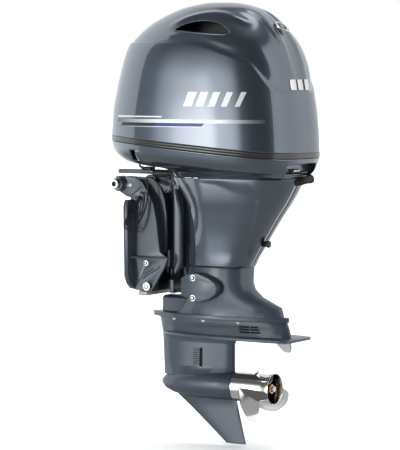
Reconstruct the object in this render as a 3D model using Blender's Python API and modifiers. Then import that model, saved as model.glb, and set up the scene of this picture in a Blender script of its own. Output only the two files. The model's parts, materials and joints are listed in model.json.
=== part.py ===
"""Outboard motor, four-stroke, long shaft, with power trim and tilt.

Frame: +X aft, +Y starboard, +Z up, metres. The origin is the middle of the transom's top edge, on
the transom's aft face, where the clamp brackets bear at X = 0.
"""

import math

import bmesh
import bpy
from mathutils import Matrix, Vector

# Driving dimensions.
GAP = 0.0003            # clearance between touching pieces
TILT_X = -0.045         # tilt tube axis
TILT_Z = 0.048
STEER_X = 0.118         # steering axis, vertical
DRIVE_X = 0.235         # crankshaft and drive shaft axis, vertical
PROP_Z = -0.693         # propeller shaft axis
RAM_X = 0.047           # tilt ram axis, vertical
EYE_X = 0.039           # eye of the swivel bracket round the ram's upper pin
EYE_Z = -0.0065
PIN_X = 0.075           # lower pivot pin of the trim unit
PIN_Z = -0.328
BOLT_Y = 0.1635         # transom bolts: half of their spacing
UPPER_BOLT_Z = -0.052
SEAM_H = 0.190          # cowl parting plane at X = 0.28
SEAM_SLOPE = -0.082
SEAL_HALF = 0.0095      # half height of the cowl seal
APRON_TOP = 0.0745
CASING_TOP = -0.2525    # bottom of the apron and top of the drive shaft housing
TELLTALE_Z = -0.165
LATCH_X = 0.622         # hinge of the cowl latch
LATCH_Z = 0.113
SHIFT_X = 0.180         # shift rod axis, vertical
HARNESS_X = -0.062      # where the wiring lead comes out of the bottom cowl
HARNESS_Y = 0.012
LOWER_MOUNT_Z = -0.328
UPPER_MOUNT_Z = 0.030
SPLASH_Z = -0.447       # parting plane of the housing and the gearcase
PLATE_Z = -0.512        # underside of the anti-ventilation plate
GEAR_TEETH = 28
PINION_TEETH = 13
GEAR_R = 0.036          # pitch radius of the driven gears at the heel
PROP_R = 0.167
HUB_R = 0.054

PAINT = ("cowl_paint", (0.105, 0.130, 0.165), 0.30, 0.55)
CAST = ("bracket_paint", (0.085, 0.108, 0.140), 0.40, 0.45)
BLACK = ("black_plastic", (0.015, 0.015, 0.017), 0.45, 0.0)
RUBBER = ("rubber", (0.020, 0.018, 0.017), 0.60, 0.0)
STEEL = ("stainless", (0.62, 0.61, 0.59), 0.25, 1.0)
CHROME = ("polished_stainless", (0.78, 0.76, 0.74), 0.10, 1.0)
ALU = ("cast_aluminium", (0.42, 0.43, 0.44), 0.45, 0.9)
BRASS = ("brass", (0.70, 0.50, 0.24), 0.25, 1.0)
ZINC = ("zinc", (0.60, 0.60, 0.61), 0.55, 0.6)
GEARSTEEL = ("gear_steel", (0.38, 0.38, 0.40), 0.35, 1.0)
SPECS = (PAINT, CAST, BLACK, RUBBER, STEEL, CHROME, ALU, BRASS, ZINC, GEARSTEEL)

for old in list(bpy.data.objects):
    bpy.data.objects.remove(old, do_unlink=True)
PARTS = bpy.data.collections.new("outboard_motor")
CUTTERS = bpy.data.collections.new("cutters")
bpy.context.scene.collection.children.link(PARTS)
bpy.context.scene.collection.children.link(CUTTERS)


def material(spec):
    """One Principled material for each finish."""
    name, colour, roughness, metallic = spec
    found = bpy.data.materials.get(name)
    if found:
        return found
    made = bpy.data.materials.new(name)
    made.use_nodes = True
    shader = made.node_tree.nodes["Principled BSDF"]
    shader.inputs["Base Color"].default_value = (*colour, 1.0)
    shader.inputs["Roughness"].default_value = roughness
    shader.inputs["Metallic"].default_value = metallic
    return made


def place(name, bm, spec, origin=(0, 0, 0), smooth=35):
    """Turns a bmesh in world coordinates into an object whose origin is at the given point."""
    bmesh.ops.recalc_face_normals(bm, faces=bm.faces)
    bmesh.ops.translate(bm, verts=bm.verts, vec=-Vector(origin))
    mesh = bpy.data.meshes.new(name)
    bm.to_mesh(mesh)
    bm.free()
    mesh.materials.append(material(spec))
    if smooth:
        mesh.shade_smooth()
        mesh.set_sharp_from_angle(angle=math.radians(smooth))
    ob = bpy.data.objects.new(name, mesh)
    ob.location = origin
    PARTS.objects.link(ob)
    return ob


def bevelled(ob, width, segments=1, angle=40):
    """Adds a Bevel on the sharp edges."""
    mod = ob.modifiers.new("edge", "BEVEL")
    mod.width = width
    mod.segments = segments
    mod.limit_method = "ANGLE"
    mod.angle_limit = math.radians(angle)
    return ob


def box(name, low, high, spec, bevel=0.0):
    """A block between two corners."""
    bm = bmesh.new()
    size = [h - l for l, h in zip(low, high)]
    middle = [(h + l) / 2 for l, h in zip(low, high)]
    bmesh.ops.create_cube(bm, size=1.0, matrix=Matrix.Translation(middle) @ Matrix.Diagonal((*size, 1)))
    ob = place(name, bm, spec, smooth=0)
    if bevel:
        bevelled(ob, bevel)
    return ob


def rod(name, start, end, radius, spec, sides=20, radius2=None):
    """A cylinder or cone between two points."""
    a = Vector(start)
    b = Vector(end)
    bm = bmesh.new()
    turn = (b - a).to_track_quat("Z", "Y").to_matrix().to_4x4()
    bmesh.ops.create_cone(
        bm, cap_ends=True, segments=sides, radius1=radius,
        radius2=radius if radius2 is None else radius2, depth=(b - a).length,
        matrix=Matrix.Translation((a + b) / 2) @ turn)
    return place(name, bm, spec)


def turned(name, profile, spec, origin, axis="Z", steps=24, closed=False):
    """A Screw of a profile of (radius, height) pairs, from the top down its outer side."""
    mesh = bpy.data.meshes.new(name)
    verts = [(r, 0, h) for r, h in profile]
    edges = [(i, i + 1) for i in range(len(verts) - 1)]
    if closed:
        edges.append((len(verts) - 1, 0))
    mesh.from_pydata(verts, edges, [])
    mesh.materials.append(material(spec))
    ob = bpy.data.objects.new(name, mesh)
    ob.location = origin
    if axis == "X":
        ob.rotation_euler = (0, math.pi / 2, 0)
    if axis == "Y":
        ob.rotation_euler = (-math.pi / 2, 0, 0)
    PARTS.objects.link(ob)
    screw = ob.modifiers.new("turn", "SCREW")
    screw.steps = steps
    screw.render_steps = steps
    screw.use_merge_vertices = True
    screw.merge_threshold = 0.00001
    screw.use_smooth_shade = True
    return ob


def outline(name, points, low, high, spec, axis="Y", origin=(0, 0, 0)):
    """A flat outline made solid between two levels of the axis that it is extruded along."""
    curve = bpy.data.curves.new(name, "CURVE")
    curve.dimensions = "2D"
    curve.fill_mode = "BOTH"
    curve.extrude = (high - low) / 2
    spline = curve.splines.new("POLY")
    spline.points.add(len(points) - 1)
    for point, (a, b) in zip(spline.points, points):
        point.co = (a, b, 0, 1)
    spline.use_cyclic_u = True
    flat = bpy.data.objects.new(name + "_flat", curve)
    PARTS.objects.link(flat)
    bpy.context.view_layer.update()
    seen = flat.evaluated_get(bpy.context.evaluated_depsgraph_get())
    mesh = bpy.data.meshes.new_from_object(seen)
    bm = bmesh.new()
    bm.from_mesh(mesh)
    bmesh.ops.remove_doubles(bm, verts=bm.verts, dist=0.00001)
    bpy.data.objects.remove(flat, do_unlink=True)
    middle = (high + low) / 2
    if axis == "Y":
        bmesh.ops.transform(bm, verts=bm.verts, matrix=Matrix.Translation((0, middle, 0))
                            @ Matrix.Rotation(math.pi / 2, 4, "X"))
    if axis == "X":
        bmesh.ops.transform(bm, verts=bm.verts, matrix=Matrix.Translation((middle, 0, 0))
                            @ Matrix.Rotation(math.pi / 2, 4, "Z") @ Matrix.Rotation(math.pi / 2, 4, "X"))
    if axis == "Z":
        bmesh.ops.translate(bm, verts=bm.verts, vec=(0, 0, middle))
    return place(name, bm, spec, origin)


def loft(name, rings, spec, caps=True, wrap=False, closed=True, smooth=35):
    """Skins matching rings of points. wrap also joins the last ring to the first, for a hollow ring."""
    bm = bmesh.new()
    grid = [[bm.verts.new(p) for p in ring] for ring in rings]
    count = len(rings[0])
    pairs = list(zip(grid, grid[1:]))
    if wrap:
        pairs.append((grid[-1], grid[0]))
    for low, high in pairs:
        for i in range(count if closed else count - 1):
            j = (i + 1) % count
            bm.faces.new((low[i], low[j], high[j], high[i]))
    if caps and not wrap:
        bm.faces.new(reversed(grid[0]))
        bm.faces.new(grid[-1])
    return place(name, bm, spec, smooth=smooth)


def as_mesh(curve_ob):
    """Replaces a curve object by a mesh of the same name, with its end caps welded on."""
    bpy.context.view_layer.update()
    seen = curve_ob.evaluated_get(bpy.context.evaluated_depsgraph_get())
    name = curve_ob.name
    bm = bmesh.new()
    bm.from_mesh(bpy.data.meshes.new_from_object(seen))
    bmesh.ops.remove_doubles(bm, verts=bm.verts, dist=0.00001)
    spec = next(known for known in SPECS if known[0] == curve_ob.data.materials[0].name)
    bpy.data.objects.remove(curve_ob, do_unlink=True)
    return place(name, bm, spec)


def retire(ob):
    """Moves a helper to the cutters collection."""
    PARTS.objects.unlink(ob)
    CUTTERS.objects.link(ob)
    ob.hide_render = True
    ob.hide_viewport = True
    ob.display_type = "WIRE"


def combine(ob, tool, operation="DIFFERENCE"):
    """Cuts the tool from the object, or joins it on."""
    mod = ob.modifiers.new(operation.lower(), "BOOLEAN")
    mod.operation = operation
    mod.solver = "EXACT"
    mod.object = tool
    tool.parent = ob
    tool.matrix_parent_inverse = ob.matrix_basis.inverted()
    retire(tool)
    return ob


def join(ob, *tools):
    """Unites the tools with the object."""
    for tool in tools:
        combine(ob, tool, "UNION")
    return ob


def cut(ob, *tools):
    """Cuts the tools from the object."""
    for tool in tools:
        combine(ob, tool, "DIFFERENCE")
    return ob


def cord(name, points, radius, spec):
    """A wire along a smooth curve through its route's points."""
    route = [Vector(p) for p in points]
    route = [2 * route[0] - route[1]] + route + [2 * route[-1] - route[-2]]
    fine = []
    for a, b, c, d in zip(route, route[1:], route[2:], route[3:]):
        for k in range(3):
            t = k / 3
            fine.append(0.5 * (2 * b + (c - a) * t + (2 * a - 5 * b + 4 * c - d) * t * t
                               + (3 * b - a - 3 * c + d) * t ** 3))
    fine.append(route[-2])
    curve = bpy.data.curves.new(name, "CURVE")
    curve.dimensions = "3D"
    curve.bevel_depth = radius
    curve.bevel_resolution = 2
    curve.use_fill_caps = True
    spline = curve.splines.new("POLY")
    spline.points.add(len(fine) - 1)
    for point, p in zip(spline.points, fine):
        point.co = (*p, 1)
    curve.materials.append(material(spec))
    ob = bpy.data.objects.new(name, curve)
    PARTS.objects.link(ob)
    return ob


def across(side, inner, outer):
    """The lower and the higher Y of a stretch between two half widths, on one side."""
    return sorted((side * inner, side * outer))


def oval(height, slope, front, rear, half, nose, tail, middle=0.30, count=24, inset=0.0):
    """A rounded plan outline: superellipse quarters in front of and behind its widest station."""
    ring = []
    for i in range(count):
        t = 2 * math.pi * (i + 0.5) / count
        c = math.cos(t)
        s = math.sin(t)
        power = 2 / (tail if c > 0 else nose)
        reach = (rear - inset - middle) if c > 0 else (middle - front - inset)
        x = middle + reach * math.copysign(abs(c) ** power, c)
        y = (half - inset) * math.copysign(abs(s) ** power, s)
        ring.append((x, y, height + slope * (x - 0.28)))
    return ring


def arc(cx, cy, radius, start, end, count):
    """Points of an arc, angles in degrees."""
    return [(cx + radius * math.cos(math.radians(start + (end - start) * k / count)),
             cy + radius * math.sin(math.radians(start + (end - start) * k / count)))
            for k in range(count + 1)]


# ---------------------------------------------------------------------------------------------
# Cowling. Each station: height, slope, front, rear, half width, nose and tail exponents.
TOP_STATIONS = [
    (SEAM_H + 0.010, SEAM_SLOPE, -0.117, 0.661, 0.2445, 2.8, 3.2),
    (0.300, -0.070, -0.108, 0.655, 0.243, 2.8, 3.2),
    (0.400, -0.055, -0.088, 0.642, 0.236, 2.8, 3.1),
    (0.490, -0.035, -0.066, 0.621, 0.226, 2.8, 3.0),
    (0.560, -0.020, -0.040, 0.593, 0.208, 2.8, 2.9),
    (0.610, -0.010, 0.005, 0.557, 0.180, 2.6, 2.7),
    (0.655, 0.0, 0.068, 0.512, 0.139, 2.4, 2.5),
    (0.690, 0.0, 0.148, 0.457, 0.092, 2.3, 2.3),
    (0.708, 0.0, 0.225, 0.392, 0.048, 2.1, 2.1),
]
BOTTOM_STATIONS = [
    (SEAM_H - 0.0115, SEAM_SLOPE, -0.117, 0.661, 0.2445, 2.8, 3.2),
    (0.135, -0.085, -0.104, 0.657, 0.232, 2.8, 3.2),
    (0.108, -0.070, -0.050, 0.650, 0.200, 2.8, 3.2),
    (0.099, -0.060, 0.110, 0.648, 0.172, 3.0, 3.2),
    (0.0770, 0.0, 0.158, 0.646, 0.150, 3.0, 3.2),
]
FLOOR_HOLE = (0.0770, 0.0, 0.166, 0.575, 0.112, 6.0, 6.0)

rings = [oval(*station) for station in TOP_STATIONS]
bm = bmesh.new()
grid = [[bm.verts.new(p) for p in ring] for ring in rings]
for low, high in zip(grid, grid[1:]):
    for i in range(len(low)):
        j = (i + 1) % len(low)
        bm.faces.new((low[i], low[j], high[j], high[i]))
crown = bm.verts.new((0.295, 0, 0.713))
for i in range(len(grid[-1])):
    bm.faces.new((grid[-1][i], grid[-1][(i + 1) % len(grid[-1])], crown))
top_cowl = place("top_cowl", bm, PAINT)
wall = top_cowl.modifiers.new("wall", "SOLIDIFY")
wall.thickness = 0.0035
wall.offset = -1

# The intake vents: crescents through both shoulders, with a dark duct behind each.
VENT = [(0.213, 0.611), (0.262, 0.634), (0.330, 0.642), (0.400, 0.630), (0.440, 0.606),
        (0.452, 0.594), (0.400, 0.594), (0.320, 0.600)]
for tag, side in (("port", -1), ("starboard", 1)):
    cut(top_cowl, outline("vent_cut_" + tag, VENT, *across(side, 0.110, 0.300), BLACK))
    inner, outer = across(side, 0.070, 0.104)
    duct = box("vent_duct_" + tag, (0.222, inner, 0.572), (0.438, outer, 0.642), BLACK)
    inner, outer = across(side, 0.074, 0.120)
    cut(duct, box("duct_cut_" + tag, (0.226, inner, 0.576), (0.434, outer, 0.660), BLACK))

# The round badge high on the stern of the cowl, standing on a stub through the shell.
badge_at = Vector((0.557, 0.0, 0.6165))
badge_up = Vector((0.60, 0.0, 0.80)).normalized()
emblem = rod("cowl_emblem", badge_at + badge_up * 0.004, badge_at + badge_up * 0.009, 0.030, ALU, 24)
join(emblem, rod("badge_stub", badge_at - badge_up * 0.012, badge_at + badge_up * 0.006, 0.008, ALU, 12))
cut(top_cowl, rod("badge_hole", badge_at - badge_up * 0.030, badge_at + badge_up * 0.030,
                  0.0086, ALU, 12))

rings = [oval(*station) for station in BOTTOM_STATIONS] + [oval(*FLOOR_HOLE)]
bottom_cowl = loft("bottom_cowl", rings, PAINT, caps=False)
wall = bottom_cowl.modifiers.new("wall", "SOLIDIFY")
wall.thickness = 0.0040
wall.offset = -1
cut(bottom_cowl, box("latch_window", (0.590, -0.0965, 0.0820), (0.720, 0.0965, 0.1310), BLACK))
cut(bottom_cowl, box("cable_slot", (0.050, -0.240, 0.138), (0.074, -0.180, 0.176), BLACK))
cut(bottom_cowl, rod("harness_hole", (HARNESS_X, HARNESS_Y, 0.100), (HARNESS_X, HARNESS_Y, 0.180), 0.0057, BLACK, 12))

seal_rings = [
    oval(SEAM_H + SEAL_HALF, SEAM_SLOPE, -0.118, 0.662, 0.2455, 2.8, 3.2),
    oval(SEAM_H - SEAL_HALF, SEAM_SLOPE, -0.118, 0.662, 0.2455, 2.8, 3.2),
    oval(SEAM_H - SEAL_HALF, SEAM_SLOPE, -0.118, 0.662, 0.2455, 2.8, 3.2, inset=0.010),
    oval(SEAM_H + SEAL_HALF, SEAM_SLOPE, -0.118, 0.662, 0.2455, 2.8, 3.2, inset=0.010),
]
loft("cowl_seal", seal_rings, RUBBER, wrap=True)

# Rear latch: an open pocket let into the bottom cowl, and a handle hinged across it.
recess = box("latch_recess", (0.598, -0.0960, 0.0825), (0.6290, 0.0960, 0.1305), PAINT)
cut(recess, box("recess_cut", (0.602, -0.0925, 0.0860), (0.650, 0.0925, 0.1270), PAINT))
lever = box("latch_lever", (LATCH_X - 0.0040, -0.036, 0.0985), (LATCH_X + 0.0040, 0.056, LATCH_Z), BLACK, 0.002)
join(lever, rod("latch_pin", (LATCH_X, -0.046, LATCH_Z), (LATCH_X, 0.066, LATCH_Z), 0.0065, STEEL, 14))

# ---------------------------------------------------------------------------------------------
# Power head.
block = box("engine_block", (0.262, -0.105, 0.0955), (0.452, 0.105, 0.500), ALU)
join(block, rod("crankcase", (DRIVE_X, 0, 0.110), (DRIVE_X, 0, 0.490), 0.098, ALU, 16))
cut(block, rod("crank_bore", (DRIVE_X, 0, 0.050), (DRIVE_X, 0, 0.550), 0.026, ALU, 16))
head = box("cylinder_head", (0.4523, -0.100, 0.120), (0.520, 0.100, 0.490), ALU)
join(head, box("cam_cover", (0.515, -0.088, 0.135), (0.568, 0.088, 0.480), ALU, 0.012))
silencer = box("intake_silencer", (0.150, -0.205, 0.230), (0.380, -0.150, 0.430), BLACK, 0.012)
for k in range(4):
    z = 0.255 + 0.050 * k
    join(silencer, box("runner_%d" % k, (0.330, -0.160, z - 0.014), (0.368, -0.1053, z + 0.014), BLACK))
turned("flywheel", [(0, 0.547), (0.120, 0.547), (0.130, 0.540), (0.130, 0.518), (0.030, 0.510),
                    (0.025, 0.500), (0.025, 0.086), (0.0, 0.086)], GEARSTEEL, (DRIVE_X, 0, 0), steps=20)
turned("flywheel_cover", [(0, 0.572), (0.120, 0.570), (0.142, 0.558), (0.142, 0.5005), (0.138, 0.5005),
                                  (0.138, 0.555), (0.118, 0.566), (0, 0.567)], BLACK, (DRIVE_X, 0, 0), steps=20)
starter = rod("starter_motor", (0.075, 0.115, 0.270), (0.075, 0.115, 0.440), 0.036, BLACK, 18)
join(starter, rod("starter_nose", (0.075, 0.115, 0.430), (0.075, 0.115, 0.475), 0.022, BLACK, 12))
join(starter, box("starter_foot", (0.080, 0.060, 0.300), (0.1465, 0.120, 0.400), BLACK))
cut(starter, rod("starter_clear", (DRIVE_X, 0, 0.2), (DRIVE_X, 0, 0.5), 0.0985, BLACK, 20))

box("exhaust_guide", (0.262, -0.098, 0.0003), (0.540, 0.098, 0.0952), ALU, 0.006)

# ---------------------------------------------------------------------------------------------
# Mid section: upper casing, apron halves, drive shaft housing.
casing_rings = [
    oval(-0.0020, 0, 0.168, 0.430, 0.088, 2.2, 4.0),
    oval(-0.100, 0, 0.168, 0.420, 0.080, 2.2, 4.0),
    oval(CASING_TOP + GAP, 0, 0.168, 0.412, 0.070, 2.2, 4.0),
]
casing = loft("upper_casing", casing_rings, CAST, caps=False)
wall = casing.modifiers.new("wall", "SOLIDIFY")
wall.thickness = 0.0050
wall.offset = -1

# Each row: height, front edge X, front edge half width, half width at the widest station, rear X.
APRON_ROWS = [
    (APRON_TOP, 0.158, 0.094, 0.148, 0.645),
    (0.040, 0.180, 0.095, 0.144, 0.622),
    (-0.010, 0.212, 0.095, 0.135, 0.588),
    (-0.060, 0.234, 0.094, 0.122, 0.553),
    (-0.140, 0.246, 0.090, 0.104, 0.501),
    (CASING_TOP, 0.240, 0.080, 0.086, 0.433),
]


def apron_line(row, side):
    """The plan line of one apron half, from its front edge round to the stern seam."""
    height, front, front_half, half, rear = row
    middle = 0.32
    line = []
    for k in range(5):
        u = k / 5
        line.append((front + (middle - front) * u,
                     side * (front_half + (half - front_half) * math.sin(math.pi / 2 * u)), height))
    for k in range(11):
        t = math.pi / 2 * k / 10
        x = middle + (rear - middle) * math.sin(t) ** (2 / 3.4)
        line.append((x, side * max(GAP, half * math.cos(t) ** (2 / 2.6)), height))
    return line


for tag, side in (("port", -1), ("starboard", 1)):
    rows = [apron_line(row, side) for row in APRON_ROWS]
    if side > 0:
        rows = rows[::-1]
    half = loft("apron_" + tag, rows, PAINT, caps=False, closed=False)
    wall = half.modifiers.new("wall", "SOLIDIFY")
    wall.thickness = 0.0035
    wall.offset = -1
    cut(half, rod("outlet_hole_" + tag, (0.560, 0, 0.047), (0.720, 0, 0.047), 0.0132, BLACK, 12))
    cut(half, rod("telltale_hole_" + tag, (0.420, 0, TELLTALE_Z), (0.560, 0, TELLTALE_Z), 0.0106, BLACK, 12))

nozzle = rod("telltale_nozzle", (0.455, 0, TELLTALE_Z), (0.508, 0, TELLTALE_Z), 0.0100, BLACK, 12)
join(nozzle, rod("telltale_head", (0.5035, 0, TELLTALE_Z), (0.512, 0, TELLTALE_Z), 0.013, BLACK, 16))

housing_rings = [
    oval(CASING_TOP - GAP, 0, 0.172, 0.431, 0.079, 2.2, 3.0),
    oval(-0.310, 0, 0.170, 0.428, 0.078, 2.2, 3.0),
    oval(-0.335, 0, 0.170, 0.440, 0.077, 2.2, 2.8),
    oval(-0.362, 0, 0.168, 0.475, 0.074, 2.2, 2.6),
    oval(-0.395, 0, 0.150, 0.560, 0.070, 2.2, 2.2),
    oval(-0.434, 0, 0.100, 0.574, 0.066, 2.0, 2.0),
]
housing = loft("driveshaft_housing", housing_rings, PAINT)
join(housing, box("front_ledge", (0.066, -0.036, -0.436), (0.230, 0.036, -0.368), PAINT, 0.010))


def splash_outline():
    """Boat-shaped outline of the splash plate."""
    half = [(0.010, 0.0), (0.030, 0.026), (0.075, 0.050), (0.150, 0.070), (0.250, 0.080), (0.350, 0.078),
            (0.450, 0.062), (0.530, 0.040), (0.578, 0.020), (0.592, 0.006)]
    return half + [(x, -y) for x, y in reversed(half) if y > 0]


join(housing, outline("splash_plate", splash_outline(), SPLASH_Z + GAP, -0.4305, PAINT, axis="Z"))
cut(housing, outline("housing_cavity", [(0.262, -0.058), (0.400, -0.058), (0.400, 0.058), (0.262, 0.058)],
                     -0.410, -0.200, ALU, axis="Z"))
cut(housing, rod("shaft_way", (DRIVE_X, 0, -0.5), (DRIVE_X, 0, -0.2), 0.016, ALU, 16))
cut(housing, rod("shift_way", (SHIFT_X, 0, -0.5), (SHIFT_X, 0, -0.2), 0.0062, ALU, 10))
cut(housing, rod("pump_way", (DRIVE_X, 0, -0.5), (DRIVE_X, 0, -0.398), 0.0445, ALU, 24))

MOUNT_COVER = [(0.199, -0.295), (0.225, -0.279), (0.252, -0.273), (0.281, -0.274), (0.320, -0.288),
               (0.350, -0.306), (0.358, -0.326), (0.350, -0.348), (0.320, -0.368), (0.288, -0.379),
               (0.258, -0.379), (0.225, -0.367), (0.199, -0.358)]
for tag, side in (("port", -1), ("starboard", 1)):
    inner, outer = across(side, 0.057, 0.160)
    cut(housing, box("mount_pocket_" + tag, (0.120, inner, -0.3545), (0.3075, outer, -0.3015), ALU))
    cut(housing, outline("cover_seat_" + tag, MOUNT_COVER, *across(side, 0.0790, 0.140), ALU))
    plate = outline("lower_mount_cover_" + tag, MOUNT_COVER, *across(side, 0.0793, 0.112), PAINT)
    bevelled(plate, 0.008)
    for k, bolt_z in enumerate((-0.2915, -0.3650)):
        join(plate, rod("cover_bolt_%s_%d" % (tag, k), (0.253, side * 0.105, bolt_z),
                        (0.253, side * 0.119, bolt_z), 0.0085, STEEL, 12))
    inner, outer = across(side, 0.050, 0.1065)
    cut(plate, box("cover_cut_" + tag, (0.150, inner, -0.3530), (0.3060, outer, -0.3030), PAINT))
    rod("lower_mount_" + tag, (0.1653, side * 0.0830, LOWER_MOUNT_Z), (0.300, side * 0.0830, LOWER_MOUNT_Z),
        0.0225, RUBBER, 18)
    rod("upper_mount_" + tag, (0.1723, side * 0.0550, UPPER_MOUNT_Z), (0.2617, side * 0.0550, UPPER_MOUNT_Z),
        0.0215, RUBBER, 18)

# ---------------------------------------------------------------------------------------------
# Steering: the shaft turns in the swivel bracket and carries the arm and both yokes.
steer = rod("steering_arm", (STEER_X, 0, -0.298), (STEER_X, 0, 0.090), 0.0160, CAST, 16)
join(steer, rod("upper_hub", (STEER_X, 0, 0.0190), (STEER_X, 0, 0.056), 0.036, CAST, 20))
join(steer, rod("arm_neck", (STEER_X, 0, 0.050), (STEER_X, 0, 0.088), 0.024, CAST, 20))
ARM = [(-0.120, -0.022), (-0.020, -0.022), (0.105, -0.030), (0.127, -0.018), (0.127, 0.018), (0.105, 0.030),
       (-0.020, 0.022), (-0.120, 0.022)] + arc(-0.123, 0, 0.022, 100, 260, 6)
join(steer, outline("arm_plate", ARM, 0.080, 0.0955, CAST, axis="Z"))
YOKE = [(0.118, -0.034), (0.160, -0.080), (0.172, -0.080), (0.172, 0.080), (0.160, 0.080), (0.118, 0.034)]
join(steer, outline("upper_yoke", YOKE, 0.0210, 0.0500, CAST, axis="Z"))
cut(steer, rod("tie_bolt_hole", (-0.125, 0, 0.060), (-0.125, 0, 0.110), 0.0050, CAST, 12))

LOWER_YOKE = [(0.100, -0.024), (0.148, -0.104), (0.165, -0.104), (0.165, 0.104), (0.148, 0.104), (0.100, 0.024)]
yoke = rod("lower_yoke", (STEER_X, 0, -0.310), (STEER_X, 0, -0.268), 0.029, CAST, 20)
join(yoke, outline("yoke_bar", LOWER_YOKE, -0.352, -0.304, CAST, axis="Z"))
cut(yoke, rod("yoke_bore", (STEER_X, 0, -0.2983), (STEER_X, 0, -0.250), 0.0168, CAST, 16))

# ---------------------------------------------------------------------------------------------
# Swivel bracket: a barrel round the steering shaft between two arms that hang on the tilt tube.
SWIVEL_ARM = (arc(TILT_X, TILT_Z, 0.026, 250, 90, 4)
              + [(0.040, 0.072), (0.070, 0.064), (0.100, 0.036), (0.118, -0.010), (0.126, -0.060), (0.127, -0.150),
                 (0.124, -0.205), (0.095, -0.215), (0.085, -0.120), (0.070, -0.040), (0.020, 0.010)])
LUG = arc(EYE_X, EYE_Z, 0.024, 95, 265, 4) + [(0.090, EYE_Z - 0.0275), (0.090, EYE_Z + 0.0205)]
swivel = rod("swivel_bracket", (STEER_X, 0, -0.262), (STEER_X, 0, 0.0187), 0.040, CAST, 20)
join(swivel, box("swivel_wall", (0.086, -0.090, -0.200), (0.104, 0.090, 0.015), CAST))
for tag, side in (("port", -1), ("starboard", 1)):
    join(swivel, outline("swivel_plate_" + tag, SWIVEL_ARM, *across(side, 0.082, 0.094), CAST))
    join(swivel, rod("swivel_boss_" + tag, (TILT_X, side * 0.060, TILT_Z), (TILT_X, side * 0.1175, TILT_Z),
                     0.026, CAST, 14))
    join(swivel, outline("ram_lug_" + tag, LUG, *across(side, 0.030, 0.042), CAST))
cut(swivel, rod("steer_bore", (STEER_X, 0, -0.300), (STEER_X, 0, 0.060), 0.0168, CAST, 16))
cut(swivel, rod("tilt_bore", (TILT_X, -0.130, TILT_Z), (TILT_X, 0.130, TILT_Z), 0.0168, CAST, 14))
cut(swivel, rod("ram_eye", (EYE_X, -0.060, EYE_Z), (EYE_X, 0.060, EYE_Z), 0.0170, CAST, 14))

# ---------------------------------------------------------------------------------------------
# Clamp brackets. The web stands inboard of the flange that bears on the transom.
WEB = (arc(TILT_X, TILT_Z, 0.027, 235, 90, 5)
       + [(0.020, 0.073), (0.052, 0.052), (0.078, 0.013), (0.098, -0.024), (0.112, -0.087), (0.120, -0.156),
          (0.126, -0.200), (0.160, -0.222), (0.147, -0.256), (0.100, -0.330), (0.090, -0.346), (0.066, -0.348),
          (0.020, -0.343), (0.0, -0.338), (0.0, -0.002), (-0.020, 0.002)])
RIB = [(0.010, 0.136), (0.156, 0.136), (0.148, 0.146), (0.010, 0.176)]
FLANGE_FACE = [(-0.010, -0.128), (-0.010, -0.180), (-0.034, -0.190), (-0.290, -0.184), (-0.318, -0.170),
               (-0.338, -0.146), (-0.338, -0.128)]
for tag, side in (("port", -1), ("starboard", 1)):
    bracket = outline("clamp_bracket_" + tag, WEB, *across(side, 0.128, 0.140), CAST)
    join(bracket, outline("flange_" + tag, [(side * -y, z) for z, y in FLANGE_FACE], 0.0, 0.017, CAST, axis="X"))
    join(bracket, rod("clamp_boss_" + tag, (TILT_X, side * 0.118, TILT_Z), (TILT_X, side * 0.150, TILT_Z),
                      0.027, CAST, 16))
    join(bracket, outline("rib_" + tag, [(x, side * y) for x, y in RIB], -0.224, -0.217, CAST, axis="Z"))
    join(bracket, rod("clip_post_" + tag, (0.040, side * 0.136, 0.000), (0.040, side * 0.148, 0.000),
                      0.006, CAST, 10))
    cut(bracket, rod("tube_hole_" + tag, (TILT_X, side * 0.100, TILT_Z), (TILT_X, side * 0.170, TILT_Z),
                     0.0168, CAST, 14))
    cut(bracket, rod("pivot_hole_" + tag, (PIN_X, side * 0.100, PIN_Z), (PIN_X, side * 0.170, PIN_Z),
                     0.0083, CAST, 12))
    cut(bracket, rod("round_hole_" + tag, (0.067, side * 0.110, -0.243), (0.067, side * 0.170, -0.243),
                     0.0090, CAST, 10))
    cut(bracket, rod("upper_bolt_hole_" + tag, (-0.030, side * BOLT_Y, UPPER_BOLT_Z),
                     (0.040, side * BOLT_Y, UPPER_BOLT_Z), 0.0065, CAST, 12))
    inner, outer = across(side, BOLT_Y - 0.0065, BOLT_Y + 0.0065)
    cut(bracket, box("lower_bolt_slot_" + tag, (-0.030, inner, -0.290), (0.040, outer, -0.250), CAST))

tube = rod("tilt_tube", (TILT_X, -0.176, TILT_Z), (TILT_X, 0.176, TILT_Z), 0.0160, STEEL, 20)
cut(tube, rod("tube_bore", (TILT_X, -0.300, TILT_Z), (TILT_X, 0.300, TILT_Z), 0.0105, STEEL, 16))
for tag, side in (("port", -1), ("starboard", 1)):
    nut = rod("tilt_nut_" + tag, (TILT_X, side * 0.1503, TILT_Z), (TILT_X, side * 0.1950, TILT_Z),
              0.0210, STEEL, 12, 0.0180)
    cut(nut, rod("nut_bore_" + tag, (TILT_X, side * 0.140, TILT_Z), (TILT_X, side * 0.1765, TILT_Z),
                 0.0168, STEEL, 14))
    cut(nut, rod("nut_end_" + tag, (TILT_X, side * 0.170, TILT_Z), (TILT_X, side * 0.210, TILT_Z),
                 0.0095, STEEL, 10))

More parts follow.
